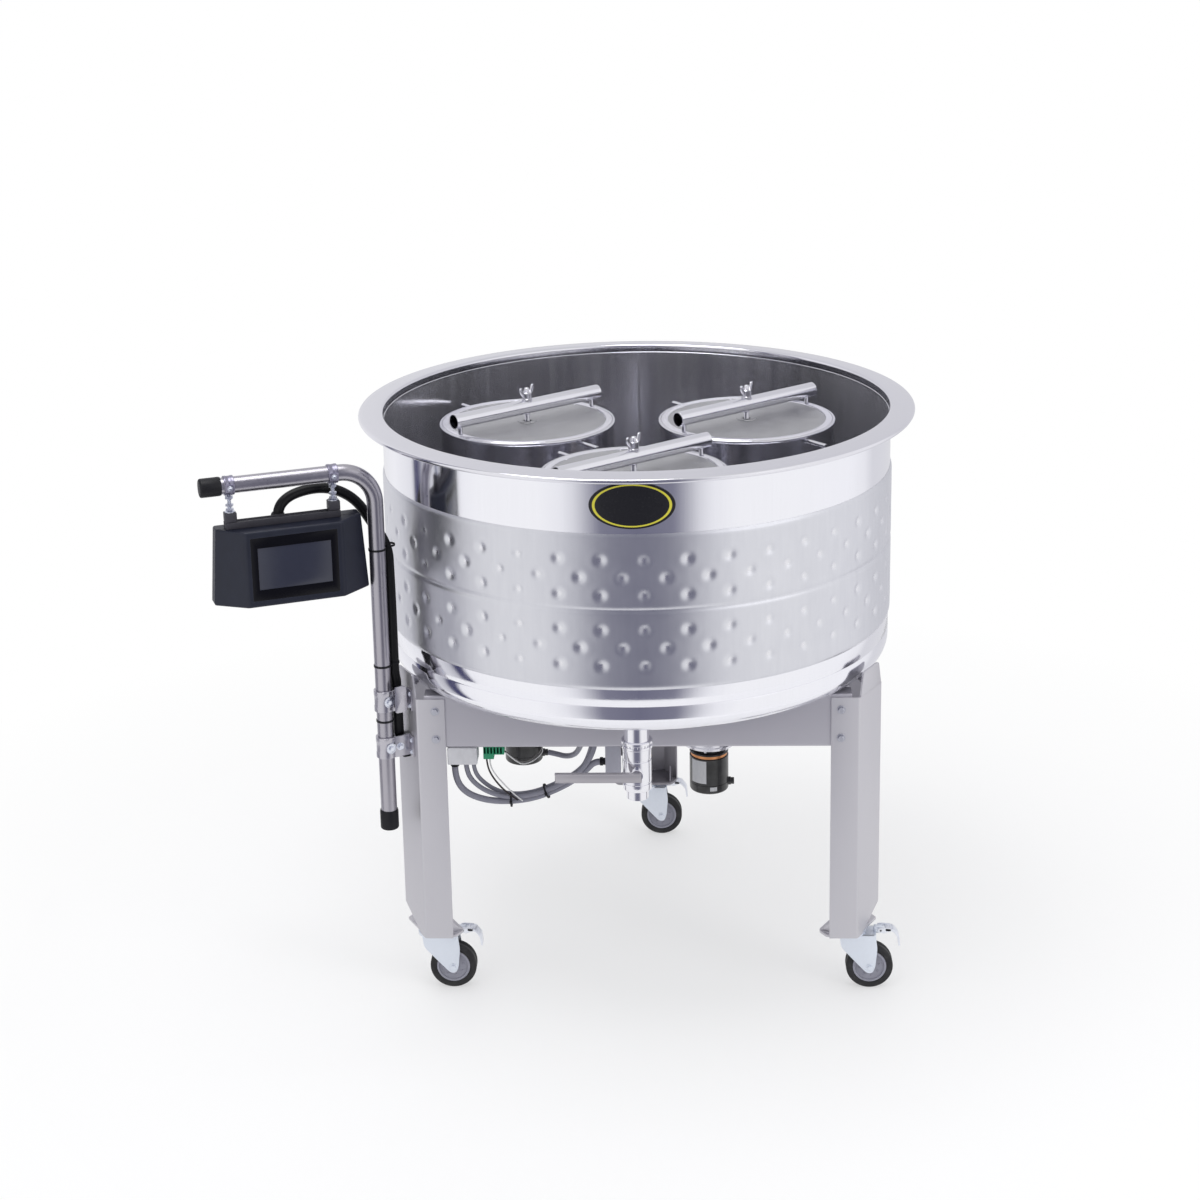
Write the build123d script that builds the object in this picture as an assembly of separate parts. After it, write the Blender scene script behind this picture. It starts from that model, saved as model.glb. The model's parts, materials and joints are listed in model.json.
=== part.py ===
"""Electric brewing system: a wide open kettle with three malt pipes, on a three-legged frame with casters,
with an outlet valve, two circulation pumps and a controller hung from a swivelling tube mast.

Millimetres, +Z up, floor at z = 0. Everything is modelled round the kettle axis, and the whole part is then
moved so that its bounding box is centred on the origin in X and Y.
"""
from build123d import *
import os
from math import cos, pi, radians, sin, tan

os.makedirs("parts", exist_ok=True)

# Kettle
KETTLE_R = 538.0
KETTLE_WALL = 3.0
KETTLE_BASE_Z = 691.0
KETTLE_KNUCKLE_R = 40.0
LIP_Z = 1234.0
RIM_WIDTH = 50.0
RIM_DEPTH = 19.0
RIM_DROP = 4.0
RIM_HEM = 9.0

# Cooling jacket, two zones of thin sheet round the kettle wall
JACKET_BOTTOM_Z = 788.0
JACKET_SEAM_Z = 952.0
JACKET_TOP_Z = 1108.0
JACKET_DEPTH = 3.5
JACKET_EDGE = 3.0
JACKET_SEAM = 10.0

# Oval plate on the front of the kettle
BADGE_LENGTH = 168.0
BADGE_HEIGHT = 94.0
BADGE_Z = 1165.0
BADGE_T = 3.0

# Heating coil on the kettle floor
HEATER_INSET = 35.0
HEATER_TUBE_R = 6.5
HEATER_LIFT = 42.0
HEATER_CLIP = (18.0, 5.0)

# Malt pipes, their sieves and hold-down bars
PIPE_PITCH_R = 277.0
PIPE_ANGLES = {"left": 150.0, "right": 30.0, "front": 270.0}
PIPE_R = 190.0
PIPE_WALL = 3.0
PIPE_TOP_Z = 1158.0
PIPE_BEAD = 4.0
PIPE_FLOOR_LIFT = 26.0
PIPE_FLOOR_T = 4.0
LEDGE_WIDTH = 10.0
LEDGE_T = 4.0
LIFT_PIN_R = 5.0
LIFT_PIN_LENGTH = 59.0
LIFT_PIN_DROP = 14.0
SIEVE_FRAME_WIDTH = 15.0
SIEVE_FRAME_T = 8.0
SIEVE_PLATE_T = 2.0
ROD_R = 6.0
ROD_HOLE_GAP = 3.0
ROD_ABOVE_BAR = 26.0
BAR_R = 16.0
BAR_WALL = 2.0
BAR_OVERHANG = 6.0
BAR_ANGLE = 40.0
BAR_FOOT_R = 5.0
BAR_FOOT_HEIGHT = 14.0
BAR_SADDLE_R = 12.0
BAR_SADDLE_RISE = 2.0
NUT_R = 11.0
NUT_HEIGHT = 14.0
NUT_WING_SPAN = 56.0
NUT_WING_T = 4.0
NUT_WING_TOP = 28.0
NUT_ANGLE = 60.0

# Frame: three folded beams in a triangle, and three folded legs at its corners
SHEET = 4.0
BEAM_HEIGHT = 115.0
BEAM_FLANGE = 40.0
BEAM_END_GAP = 16.6
LEG_ANGLES = {"left": 210.0, "right": 330.0, "rear": 90.0}
LEG_STANDOFF = 19.0
LEG_WEB = 103.0
LEG_FLANGE = 59.0
LEG_BOTTOM_Z = 142.0
LEG_TOP_DROP = 6.0
LEG_EAR_RISE = 44.0
LEG_EAR_HALF = 36.0
LEG_CUT_HEIGHT = 46.0
LEG_CUT_SLOPE = 2.25
LEG_CUT_END = 0.6
FOOT_PLATE_T = 6.0
FOOT_PLATE_REACH = 84.0
FOOT_PLATE_TAPER = 14.0
GUSSET = 32.0
GUSSET_INSET = 4.0

# Casters
WHEEL_R = 50.0
WHEEL_WIDTH = 32.0
TYRE_T = 14.0
AXLE_R = 5.0
AXLE_HEAD_R = 9.0
AXLE_HEAD_T = 4.0
CASTER_INSET = 41.7
CASTER_TRAIL = 41.0
KING_PIN_R = 6.0
KING_PIN_HEAD_R = 11.0
KING_PIN_HEAD_T = 5.0
FORK_TOP_T = 18.0
FORK_TOP_R = 33.0
FORK_SIDE_T = 3.0
FORK_GAP = 2.5
FORK_LENGTH = 54.0
FORK_BACK = 24.0
FORK_DECK_T = 4.0
FORK_LUG_HEIGHT = 16.0
PEDAL_WIDTH = 26.0
PEDAL_T = 4.0
PEDAL_PIN_R = 3.0
PEDAL_PIN_X = 64.0
PEDAL_PIN_LIFT = 9.0

# Outlet valve under the front of the kettle
OUTLET_Y = -420.0
OUTLET_BORE_R = 19.0
NECK_R = 25.5
COLLAR_R = 32.0
COLLAR_T = 17.0
NECK_LENGTH = 70.0
VALVE_R = 29.5
VALVE_LENGTH = 91.0
SPOUT_R = 22.5
SPOUT_LENGTH = 20.0
BALL_R = 24.5
BALL_RISE = 42.0
BALL_WALL = 3.0
STEM_R = 7.0
STEM_BOSS_R = 13.0
STEM_BOSS_REACH = 9.0
LEVER_LENGTH = 165.0
LEVER_WIDTH = 19.0
LEVER_DEPTH = 12.0
LEVER_T = 3.0

# Circulation pumps
PUMP_PLACES = {"left": (-263.0, 60.0), "right": (150.0, -100.0)}
MOTOR_R = 42.0
MOTOR_BOTTOM_Z = 389.0
MOTOR_HEIGHT = 92.0
MOTOR_NECK_R = 34.0
MOTOR_NECK_H = 12.0
MOTOR_GLAND_LIFT = 16.0
VOLUTE_R = 55.0
VOLUTE_HEIGHT = 42.0
PUMP_PIPE_R = 16.85
PUMP_OUTLET_OFFSET = 72.0

# Boxes and leads under the kettle
JUNCTION_BOX = (62.0, 50.0, 38.0)
JUNCTION_BOX_INSET = 75.026
GREEN_CONNECTOR = (44.0, 26.0, 30.0)
GREEN_CONNECTOR_STEP = 65.0
SENSOR_BOX = (32.0, 30.0, 66.0)
SENSOR_BOX_X = -52.0
UNDER_BEAM_INSET = 23.1
GLAND_R = 9.0
GLAND_LENGTH = 12.0
LEAD_R = 8.0
PUMP_CABLE_R = 6.5
PUMP_CABLE_X = -120.0
PUMP_CABLE_Z = 606.0

# Mast, its clamps and the arm
MAST_STANDOFF = 49.0
MAST_R = 16.85
MAST_WALL = 2.0
MAST_BOTTOM_Z = 392.0
ARM_Z = 1176.0
ARM_ANGLE = 201.5
ARM_LENGTH = 352.0
ARM_BEND_R = 70.0
CAP_WALL = 2.5
CAP_LENGTH = 40.0
CLAMP_WALL = 4.0
CLAMP_HEIGHT = 46.0
CLAMP_DROP = 57.0
CLAMP_PITCH = 103.0
CLAMP_ARM_T = 6.0
CLAMP_FOOT = 24.0
CLAMP_RUNNING_GAP = 0.08
CLAMP_SCREW_R = 6.0
CLAMP_SCREW_LENGTH = 12.0
CLAMP_WING = (26.0, 4.0, 58.0)

# Control box and its hanger
BOX_BACK_TOP_WIDTH = 296.0
BOX_BACK_BOTTOM_WIDTH = 318.0
BOX_FRONT_WIDTH = 198.0
BOX_FRONT_DEPTH = 45.0
BOX_BACK_DEPTH = 34.0
BOX_DROP = 89.0
BOX_HEIGHT = 158.0
BOX_OFFSET = 12.0
DISPLAY_WIDTH = 150.0
DISPLAY_HEIGHT = 88.0
DISPLAY_T = 2.0
HANGER_INSET = 16.0
HANGER_BAR_HEIGHT = 14.0
HANGER_BAR_DEPTH = 22.0
HANGER_BAR_OVERHANG = 12.0
HANGER_BLOCK = (24.0, 22.0, 20.0)
HANGER_ROD_R = 4.0
HANGER_NUT_RISES = (3.0, 12.0)
HANGER_NUT_HEIGHT = 5.0
HANGER_BAND_WALL = 3.0
HANGER_BAND_WIDTH = 20.0

# Control cable strapped to the mast
CABLE_R = 11.0
CABLE_SPLIT_Z = 748.0
CABLE_END_Z = 590.0
CABLE_DIRECTION = 41.0
GLAND_HOOD = (26.0, 34.0, 45.0)
HOOD_CHAMFER = 12.0

# Clearances
MOVING_GAP = 0.3
TOUCH_GAP = 0.3
RUNNING_GAP = 0.06

# Sizes that follow from the ones above
RIM_R = KETTLE_R + RIM_WIDTH
HEATER_RING_R = KETTLE_R - HEATER_INSET
LEG_R = KETTLE_R + LEG_STANDOFF
BOX_TOP_Z = ARM_Z - BOX_DROP
HANGER_ALONG = (ARM_BEND_R + HANGER_INSET, ARM_LENGTH - CAP_LENGTH - HANGER_INSET)
BOX_CENTRE = sum(HANGER_ALONG) / 2 - BOX_OFFSET

parts = {}


def tube(outer, inner, bottom, top):
    """A vertical tube, or a solid bar when inner is 0."""
    body = Pos(0, 0, bottom) * Cylinder(outer, top - bottom, align=(Align.CENTER, Align.CENTER, Align.MIN))
    if inner > 0:
        body -= Pos(0, 0, bottom - 1) * Cylinder(
            inner, top - bottom + 2, align=(Align.CENTER, Align.CENTER, Align.MIN)
        )
    return body


def block(x, y, z, low_x, low_y, low_z):
    """A box of size x, y, z with its lowest corner given."""
    return Pos(low_x, low_y, low_z) * Box(x, y, z, align=(Align.MIN, Align.MIN, Align.MIN))


def plate(points, thickness):
    """A flat plate: points in XY, thickness along +Z."""
    return extrude(make_face(Polyline(*points, close=True)), thickness)


def side_plate(points, thickness):
    """A plate in the XZ plane, points given as (x, z), centred on y = 0."""
    face = make_face(Polyline(*[(x, 0, z) for x, z in points], close=True))
    return extrude(face, thickness / 2, dir=(0, 1, 0), both=True)


def rod_between(start, end, radius):
    """A round bar from one point to another."""
    axis = Vector(*end) - Vector(*start)
    return Plane(origin=start, z_dir=axis) * Cylinder(
        radius, axis.length, align=(Align.CENTER, Align.CENTER, Align.MIN)
    )


def polar(radius, angle, z=0.0):
    return (radius * cos(radians(angle)), radius * sin(radians(angle)), z)


# Kettle

def kettle_profile_line(radius, base, knuckle):
    return FilletPolyline((0, 0, base), (radius, 0, base), (radius, 0, LIP_Z - RIM_DEPTH), radius=knuckle)


def make_kettle_shell():
    inner_r = KETTLE_R - KETTLE_WALL
    outer = kettle_profile_line(KETTLE_R, KETTLE_BASE_Z, KETTLE_KNUCKLE_R)
    inner = kettle_profile_line(inner_r, KETTLE_BASE_Z + KETTLE_WALL, KETTLE_KNUCKLE_R - KETTLE_WALL)
    closing = [Line(outer @ 0, inner @ 0), Line(outer @ 1, inner @ 1)]
    shell = revolve(make_face(outer.edges() + inner.edges() + closing), Axis.Z)
    shell -= Pos(0, OUTLET_Y, 0) * tube(OUTLET_BORE_R, 0, KETTLE_BASE_Z - 5, KETTLE_BASE_Z + 20)
    return shell


def make_rim():
    """Wide polished ring: up from the wall, over a bend and out to a turned-down edge."""
    inner_r = KETTLE_R - KETTLE_WALL
    bottom = LIP_Z - RIM_DEPTH
    edge_z = LIP_Z - RIM_DROP
    points = [
        (inner_r, bottom),
        (inner_r, LIP_Z - 2),
        (inner_r + 2, LIP_Z),
        (RIM_R - 2, edge_z),
        (RIM_R, edge_z - 2),
        (RIM_R, edge_z - RIM_HEM),
        (RIM_R - KETTLE_WALL, edge_z - RIM_HEM),
        (RIM_R - KETTLE_WALL, edge_z - KETTLE_WALL - 1),
        (KETTLE_R + 6, LIP_Z - KETTLE_WALL - 1),
        (KETTLE_R, LIP_Z - KETTLE_WALL - 7),
        (KETTLE_R, bottom),
    ]
    face = make_face(Polyline(*[(r, 0, z) for r, z in points], close=True))
    return revolve(face, Axis.Z)


def make_jacket():
    """Two inflated zones with a pressed-in seam between them and welded edges."""
    outer = KETTLE_R + JACKET_DEPTH
    half = JACKET_SEAM / 2
    points = [
        (KETTLE_R, JACKET_BOTTOM_Z),
        (outer, JACKET_BOTTOM_Z + JACKET_EDGE),
        (outer, JACKET_SEAM_Z - half),
        (KETTLE_R + 1, JACKET_SEAM_Z),
        (outer, JACKET_SEAM_Z + half),
        (outer, JACKET_TOP_Z - JACKET_EDGE),
        (KETTLE_R, JACKET_TOP_Z),
    ]
    face = make_face(Polyline(*[(r, 0, z) for r, z in points], close=True))
    return revolve(face, Axis.Z)


def make_badge():
    """Oval plate bent round the kettle wall."""
    oval = Plane.XZ * Ellipse(BADGE_LENGTH / 2, BADGE_HEIGHT / 2)
    column = Pos(0, 0, BADGE_Z) * extrude(oval, KETTLE_R + 50)
    inside = KETTLE_R
    sleeve = tube(inside + BADGE_T, inside, BADGE_Z - BADGE_HEIGHT, BADGE_Z + BADGE_HEIGHT)
    return column & sleeve


def make_heater():
    """A ring of heating tube held by three upright clips that stand on the kettle floor."""
    z = KETTLE_BASE_Z + KETTLE_WALL + HEATER_LIFT
    ring = revolve(Plane.XZ * Pos(HEATER_RING_R, z) * Circle(HEATER_TUBE_R), Axis.Z)
    width, thickness = HEATER_CLIP
    floor = heater_floor(HEATER_RING_R + width / 2)
    clip = block(width, thickness, z + width / 2 - floor, HEATER_RING_R - width / 2, -thickness / 2, floor)
    for angle in LEG_ANGLES.values():
        ring += Rot(0, 0, angle) * clip
    return ring


def heater_floor(radius):
    """Height of the kettle's inner surface at a radius, which may lie on the knuckle."""
    inner_knuckle = KETTLE_KNUCKLE_R - KETTLE_WALL
    centre_r = KETTLE_R - KETTLE_KNUCKLE_R
    reach = max(radius - centre_r, 0)
    rise = inner_knuckle - (inner_knuckle**2 - reach**2) ** 0.5
    return KETTLE_BASE_Z + KETTLE_WALL + rise


# Malt pipes: each group is made at the origin, and moved to its place

PIPE_BOTTOM_Z = KETTLE_BASE_Z + KETTLE_WALL + MOVING_GAP
SIEVE_BOTTOM_Z = PIPE_TOP_Z - SIEVE_FRAME_T + MOVING_GAP
SIEVE_TOP_Z = SIEVE_BOTTOM_Z + SIEVE_FRAME_T
SIEVE_R = PIPE_R - PIPE_WALL - MOVING_GAP
BAR_Z = SIEVE_TOP_Z + MOVING_GAP + BAR_FOOT_HEIGHT + BAR_R
NUT_Z = BAR_Z + BAR_R + BAR_SADDLE_RISE + MOVING_GAP
ROD_TOP_Z = BAR_Z + BAR_R + ROD_ABOVE_BAR
ROD_HOLE_R = ROD_R + ROD_HOLE_GAP
BAR_HALF = PIPE_R + BAR_OVERHANG
BAR_FOOT_REACH = SIEVE_R - SIEVE_FRAME_WIDTH / 2
WELD = 0.5


def make_malt_pipe():
    inner = PIPE_R - PIPE_WALL
    ledge_z = PIPE_TOP_Z - SIEVE_FRAME_T
    floor_z = PIPE_BOTTOM_Z + PIPE_FLOOR_LIFT
    pipe = tube(PIPE_R, inner, PIPE_BOTTOM_Z, PIPE_TOP_Z)
    pipe += tube(PIPE_R + PIPE_BEAD, PIPE_R - WELD, PIPE_TOP_Z - 2 * PIPE_BEAD, PIPE_TOP_Z)
    pipe += tube(inner + WELD, inner - LEDGE_WIDTH, ledge_z - LEDGE_T, ledge_z)
    pipe += tube(inner + WELD, ROD_HOLE_R, floor_z, floor_z + PIPE_FLOOR_T)
    for turn in (90, -90):
        direction = BAR_ANGLE + turn
        start = polar(PIPE_R - PIPE_WALL / 2, direction, PIPE_TOP_Z - LIFT_PIN_DROP)
        end = polar(PIPE_R + LIFT_PIN_LENGTH, direction, PIPE_TOP_Z - LIFT_PIN_DROP)
        pipe += rod_between(start, end, LIFT_PIN_R)
    return pipe


def make_sieve():
    """Flat sieve in a raised polished frame, with a hole for the centre rod."""
    sieve = tube(SIEVE_R, SIEVE_R - SIEVE_FRAME_WIDTH, SIEVE_BOTTOM_Z, SIEVE_TOP_Z)
    plate_z = SIEVE_TOP_Z - 2 * SIEVE_PLATE_T
    sieve += tube(SIEVE_R - SIEVE_FRAME_WIDTH + WELD, ROD_HOLE_R, plate_z, plate_z + SIEVE_PLATE_T)
    return sieve


def make_bar():
    """Open tube across the pipe, on two feet, with a sleeve for the rod and a seat for the nut."""
    body = rod_between((-BAR_HALF, 0, BAR_Z), (BAR_HALF, 0, BAR_Z), BAR_R)
    body += tube(BAR_SADDLE_R, 0, BAR_Z, BAR_Z + BAR_R + BAR_SADDLE_RISE)
    for side in (-1, 1):
        foot = tube(BAR_FOOT_R, 0, SIEVE_TOP_Z + MOVING_GAP, BAR_Z)
        body += Pos(side * BAR_FOOT_REACH, 0, 0) * foot
    body -= rod_between((-BAR_HALF - 1, 0, BAR_Z), (BAR_HALF + 1, 0, BAR_Z), BAR_R - BAR_WALL)
    body += tube(ROD_HOLE_R + BAR_WALL, 0, BAR_Z - BAR_R + BAR_WALL / 2, BAR_Z + BAR_R)
    body -= tube(ROD_HOLE_R, 0, BAR_Z - 2 * BAR_R, BAR_Z + 2 * BAR_R)
    return Rot(0, 0, BAR_ANGLE) * body


def make_nut():
    """Wing nut: a round hub and two wings that rise outwards."""
    span = NUT_WING_SPAN / 2
    wings = [
        (-span, NUT_WING_TOP),
        (-span + 10, NUT_WING_TOP),
        (-NUT_R + 1, NUT_HEIGHT - 2),
        (NUT_R - 1, NUT_HEIGHT - 2),
        (span - 10, NUT_WING_TOP),
        (span, NUT_WING_TOP),
        (span - 2, NUT_WING_TOP - 12),
        (NUT_R, 2),
        (-NUT_R, 2),
        (-span + 2, NUT_WING_TOP - 12),
    ]
    nut = tube(NUT_R, 0, 0, NUT_HEIGHT) + side_plate(wings, NUT_WING_T)
    nut -= tube(ROD_R + RUNNING_GAP, 0, -1, NUT_WING_TOP + 1)
    return Rot(0, 0, NUT_ANGLE) * (Pos(0, 0, NUT_Z) * nut)


def make_centre_rod():
    rod = tube(ROD_R, 0, KETTLE_BASE_Z + KETTLE_WALL, ROD_TOP_Z)
    return chamfer(rod.edges().sort_by(Axis.Z)[-1], 1.0)


# Frame

BEAM_BOTTOM_Z = KETTLE_BASE_Z - BEAM_HEIGHT
FRAME_APOTHEM = LEG_R * sin(radians(30)) + LEG_WEB / 2 * cos(radians(30))
BEAM_FACE = FRAME_APOTHEM - SHEET
BEAM_HALF_LENGTH = LEG_R * cos(radians(30)) - LEG_WEB / 2 * sin(radians(30)) - BEAM_END_GAP
UNDER_BEAM_Y = UNDER_BEAM_INSET - BEAM_FACE
JUNCTION_BOX_X = JUNCTION_BOX_INSET - BEAM_HALF_LENGTH
GREEN_CONNECTOR_X = JUNCTION_BOX_X + GREEN_CONNECTOR_STEP
LEG_TOP_Z = KETTLE_BASE_Z - LEG_TOP_DROP
LEG_EAR_TOP_Z = KETTLE_BASE_Z + LEG_EAR_RISE
CLAMP_UPPER_Z = LEG_EAR_TOP_Z - CLAMP_DROP
CLAMP_Z = {"upper": CLAMP_UPPER_Z, "lower": CLAMP_UPPER_Z - CLAMP_PITCH}
CASTER_PITCH_R = LEG_R - CASTER_INSET


def make_front_beam():
    """Channel with its back outwards and both flanges turned in, made along X."""
    profile = [
        (-BEAM_FACE, BEAM_BOTTOM_Z),
        (-BEAM_FACE, KETTLE_BASE_Z),
        (-BEAM_FACE + BEAM_FLANGE, KETTLE_BASE_Z),
        (-BEAM_FACE + BEAM_FLANGE, KETTLE_BASE_Z - SHEET),
        (-BEAM_FACE + SHEET, KETTLE_BASE_Z - SHEET),
        (-BEAM_FACE + SHEET, BEAM_BOTTOM_Z + SHEET),
        (-BEAM_FACE + BEAM_FLANGE, BEAM_BOTTOM_Z + SHEET),
        (-BEAM_FACE + BEAM_FLANGE, BEAM_BOTTOM_Z),
    ]
    face = make_face(Polyline(*[(0, y, z) for y, z in profile], close=True))
    return extrude(face, BEAM_HALF_LENGTH, dir=(1, 0, 0), both=True)


def leg_section():
    """Half-hexagon section of a leg: a web across the radius (+X) and two flanges turned 60 degrees back."""
    half = LEG_WEB / 2
    back_x = LEG_FLANGE * cos(radians(30))
    back_y = LEG_FLANGE * sin(radians(30))
    thin_x = SHEET * sin(radians(30))
    thin_y = SHEET * cos(radians(30))
    inner_half = half - SHEET * tan(radians(30))
    return [
        (LEG_R, half),
        (LEG_R - back_x, half + back_y),
        (LEG_R - back_x - thin_x, half + back_y - thin_y),
        (LEG_R - SHEET, inner_half),
        (LEG_R - SHEET, -inner_half),
        (LEG_R - back_x - thin_x, -half - back_y + thin_y),
        (LEG_R - back_x, -half - back_y),
        (LEG_R, -half),
    ]


def make_leg(cut_side):
    """A leg made along +X. cut_side is the side, +1 or -1, whose lower corner is cut off at a slant."""
    half = LEG_WEB / 2
    section = make_face(Polyline(*leg_section(), close=True))
    leg = Pos(0, 0, LEG_BOTTOM_Z) * extrude(section, LEG_TOP_Z - LEG_BOTTOM_Z)
    ear = [
        (-half, LEG_TOP_Z - 1),
        (half, LEG_TOP_Z - 1),
        (LEG_EAR_HALF, LEG_EAR_TOP_Z),
        (-LEG_EAR_HALF, LEG_EAR_TOP_Z),
    ]
    ear_face = make_face(Polyline(*[(LEG_R - SHEET, y, z) for y, z in ear], close=True))
    leg += extrude(ear_face, SHEET, dir=(1, 0, 0))
    cut = [
        (cut_side * half * LEG_CUT_END, LEG_BOTTOM_Z - 1),
        (-cut_side * 3 * half, LEG_BOTTOM_Z - 1),
        (-cut_side * 3 * half, LEG_BOTTOM_Z + LEG_CUT_HEIGHT * LEG_CUT_SLOPE),
        (-cut_side * half, LEG_BOTTOM_Z + LEG_CUT_HEIGHT),
    ]
    cut_face = make_face(Polyline(*[(LEG_R - 2 * LEG_FLANGE, y, z) for y, z in cut], close=True))
    leg -= extrude(cut_face, 3 * LEG_FLANGE, dir=(1, 0, 0))
    return leg + make_foot()


def make_foot():
    """Foot plate inside the leg with two gussets and the caster's king pin."""
    inner = LEG_R - SHEET
    half = LEG_WEB / 2 - SHEET
    spread = LEG_FLANGE * cos(radians(30)) + SHEET
    wide = half + spread * tan(radians(30))
    reach = LEG_R - FOOT_PLATE_REACH
    narrow = wide - FOOT_PLATE_TAPER
    points = [
        (inner, half),
        (inner - spread, wide),
        (reach, narrow),
        (reach, -narrow),
        (inner - spread, -wide),
        (inner, -half),
    ]
    foot = Pos(0, 0, LEG_BOTTOM_Z) * plate(points, FOOT_PLATE_T)
    near = reach + GUSSET_INSET
    rib = [(near, 0), (near + GUSSET, 0), (near + GUSSET, GUSSET)]
    for side in (-1, 1):
        foot += Pos(0, side * (narrow - SHEET / 2), LEG_BOTTOM_Z + FOOT_PLATE_T) * side_plate(rib, SHEET)
    pin_bottom = LEG_BOTTOM_Z - MOVING_GAP - FORK_TOP_T - MOVING_GAP - KING_PIN_HEAD_T
    pin = tube(KING_PIN_R, 0, pin_bottom, LEG_BOTTOM_Z + FOOT_PLATE_T)
    pin += tube(KING_PIN_HEAD_R, 0, pin_bottom, pin_bottom + KING_PIN_HEAD_T)
    return foot + Pos(CASTER_PITCH_R, 0, 0) * pin


# Caster pieces, made with the swivel axis on Z and the wheel trailing along +X

def make_fork():
    top = LEG_BOTTOM_Z - MOVING_GAP
    bottom = top - FORK_TOP_T
    inside = WHEEL_WIDTH / 2 + FORK_GAP
    half = inside + FORK_SIDE_T
    deck = [(-FORK_BACK, -half), (FORK_LENGTH, -half), (FORK_LENGTH, half), (-FORK_BACK, half)]
    fork = Pos(0, 0, bottom) * plate(deck, FORK_DECK_T)
    fork += tube(FORK_TOP_R, 0, bottom, top)
    side = [
        (-FORK_BACK, bottom + FORK_DECK_T),
        (FORK_LENGTH, bottom + FORK_DECK_T),
        (FORK_LENGTH, bottom - 8),
        (CASTER_TRAIL + 16, bottom - 30),
        (CASTER_TRAIL + 11, WHEEL_R - 6),
        (CASTER_TRAIL + 6, WHEEL_R - 13),
        (CASTER_TRAIL - 6, WHEEL_R - 13),
        (CASTER_TRAIL - 24, WHEEL_R + 6),
        (-20, bottom - 26),
    ]
    for sign in (-1, 1):
        fork += Pos(0, sign * (inside + FORK_SIDE_T / 2), 0) * side_plate(side, FORK_SIDE_T)
    fork -= tube(KING_PIN_R + RUNNING_GAP, 0, bottom - 1, top + 1)
    outer = inside + FORK_SIDE_T + AXLE_HEAD_T
    axle = rod_between((CASTER_TRAIL, -outer, WHEEL_R), (CASTER_TRAIL, outer, WHEEL_R), AXLE_R)
    for sign in (-1, 1):
        near = sign * (inside + FORK_SIDE_T - WELD)
        axle += rod_between((CASTER_TRAIL, near, WHEEL_R), (CASTER_TRAIL, sign * outer, WHEEL_R), AXLE_HEAD_R)
    near = FORK_LENGTH - 4
    far = PEDAL_PIN_X + 2 * PEDAL_PIN_R
    lug_top = bottom + FORK_LUG_HEIGHT
    lug = side_plate([(near, bottom), (far, bottom), (far, lug_top), (near, lug_top)], PEDAL_WIDTH / 2)
    pin_z = bottom + PEDAL_PIN_LIFT
    pin_ends = ((PEDAL_PIN_X, -PEDAL_WIDTH, pin_z), (PEDAL_PIN_X, PEDAL_WIDTH, pin_z))
    lug -= rod_between(*pin_ends, PEDAL_PIN_R + RUNNING_GAP)
    return fork + axle + lug


def wheel_ring(outer, inner, width):
    ring = rod_between((CASTER_TRAIL, -width / 2, WHEEL_R), (CASTER_TRAIL, width / 2, WHEEL_R), outer)
    return ring - rod_between((CASTER_TRAIL, -width, WHEEL_R), (CASTER_TRAIL, width, WHEEL_R), inner)


def make_hub():
    web = wheel_ring(WHEEL_R - TYRE_T, AXLE_R + RUNNING_GAP, WHEEL_WIDTH - 10)
    boss = wheel_ring(AXLE_HEAD_R + 3, AXLE_R + RUNNING_GAP, WHEEL_WIDTH + 2 * FORK_GAP - 2 * MOVING_GAP)
    flange = wheel_ring(WHEEL_R - TYRE_T, WHEEL_R - TYRE_T - 5, WHEEL_WIDTH - 2)
    return web + boss + flange


def make_tyre():
    tyre = wheel_ring(WHEEL_R, WHEEL_R - TYRE_T, WHEEL_WIDTH)
    outer_edges = tyre.edges().filter_by(GeomType.CIRCLE).sort_by(SortBy.RADIUS)[-2:]
    return fillet(outer_edges, 5.0)


def make_pedal():
    """Brake pedal on a pin behind the wheel: two ears and a tread that curls down."""
    bottom = LEG_BOTTOM_Z - MOVING_GAP - FORK_TOP_T
    half = PEDAL_WIDTH / 2
    pin_z = bottom + PEDAL_PIN_LIFT
    ear = [
        (58, bottom + 5),
        (72, bottom + 2),
        (86, bottom + 8),
        (86, bottom + 14),
        (64, bottom + 16),
        (58, bottom + 14),
    ]
    pedal = rod_between((PEDAL_PIN_X, -half, pin_z), (PEDAL_PIN_X, half, pin_z), PEDAL_PIN_R)
    for sign in (-1, 1):
        pedal += Pos(0, sign * (half - PEDAL_T / 2), 0) * side_plate(ear, PEDAL_T)
    tread = [
        (74, bottom + 14),
        (92, bottom + 12),
        (104, bottom - 4),
        (106, bottom - 26),
        (102, bottom - 26),
        (100, bottom - 6),
        (90, bottom + 7),
        (74, bottom + 8),
    ]
    return pedal + side_plate(tread, PEDAL_WIDTH)


# Outlet valve

VALVE_TOP_Z = KETTLE_BASE_Z - NECK_LENGTH
VALVE_BOTTOM_Z = VALVE_TOP_Z - VALVE_LENGTH
BALL_Z = VALVE_BOTTOM_Z + BALL_RISE


def make_neck():
    """Pipe welded under the kettle, with a union collar at its lower end."""
    neck = tube(NECK_R, OUTLET_BORE_R, VALVE_TOP_Z, KETTLE_BASE_Z)
    neck += tube(COLLAR_R, OUTLET_BORE_R, VALVE_TOP_Z, VALVE_TOP_Z + COLLAR_T)
    return Pos(0, OUTLET_Y, 0) * neck


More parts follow.
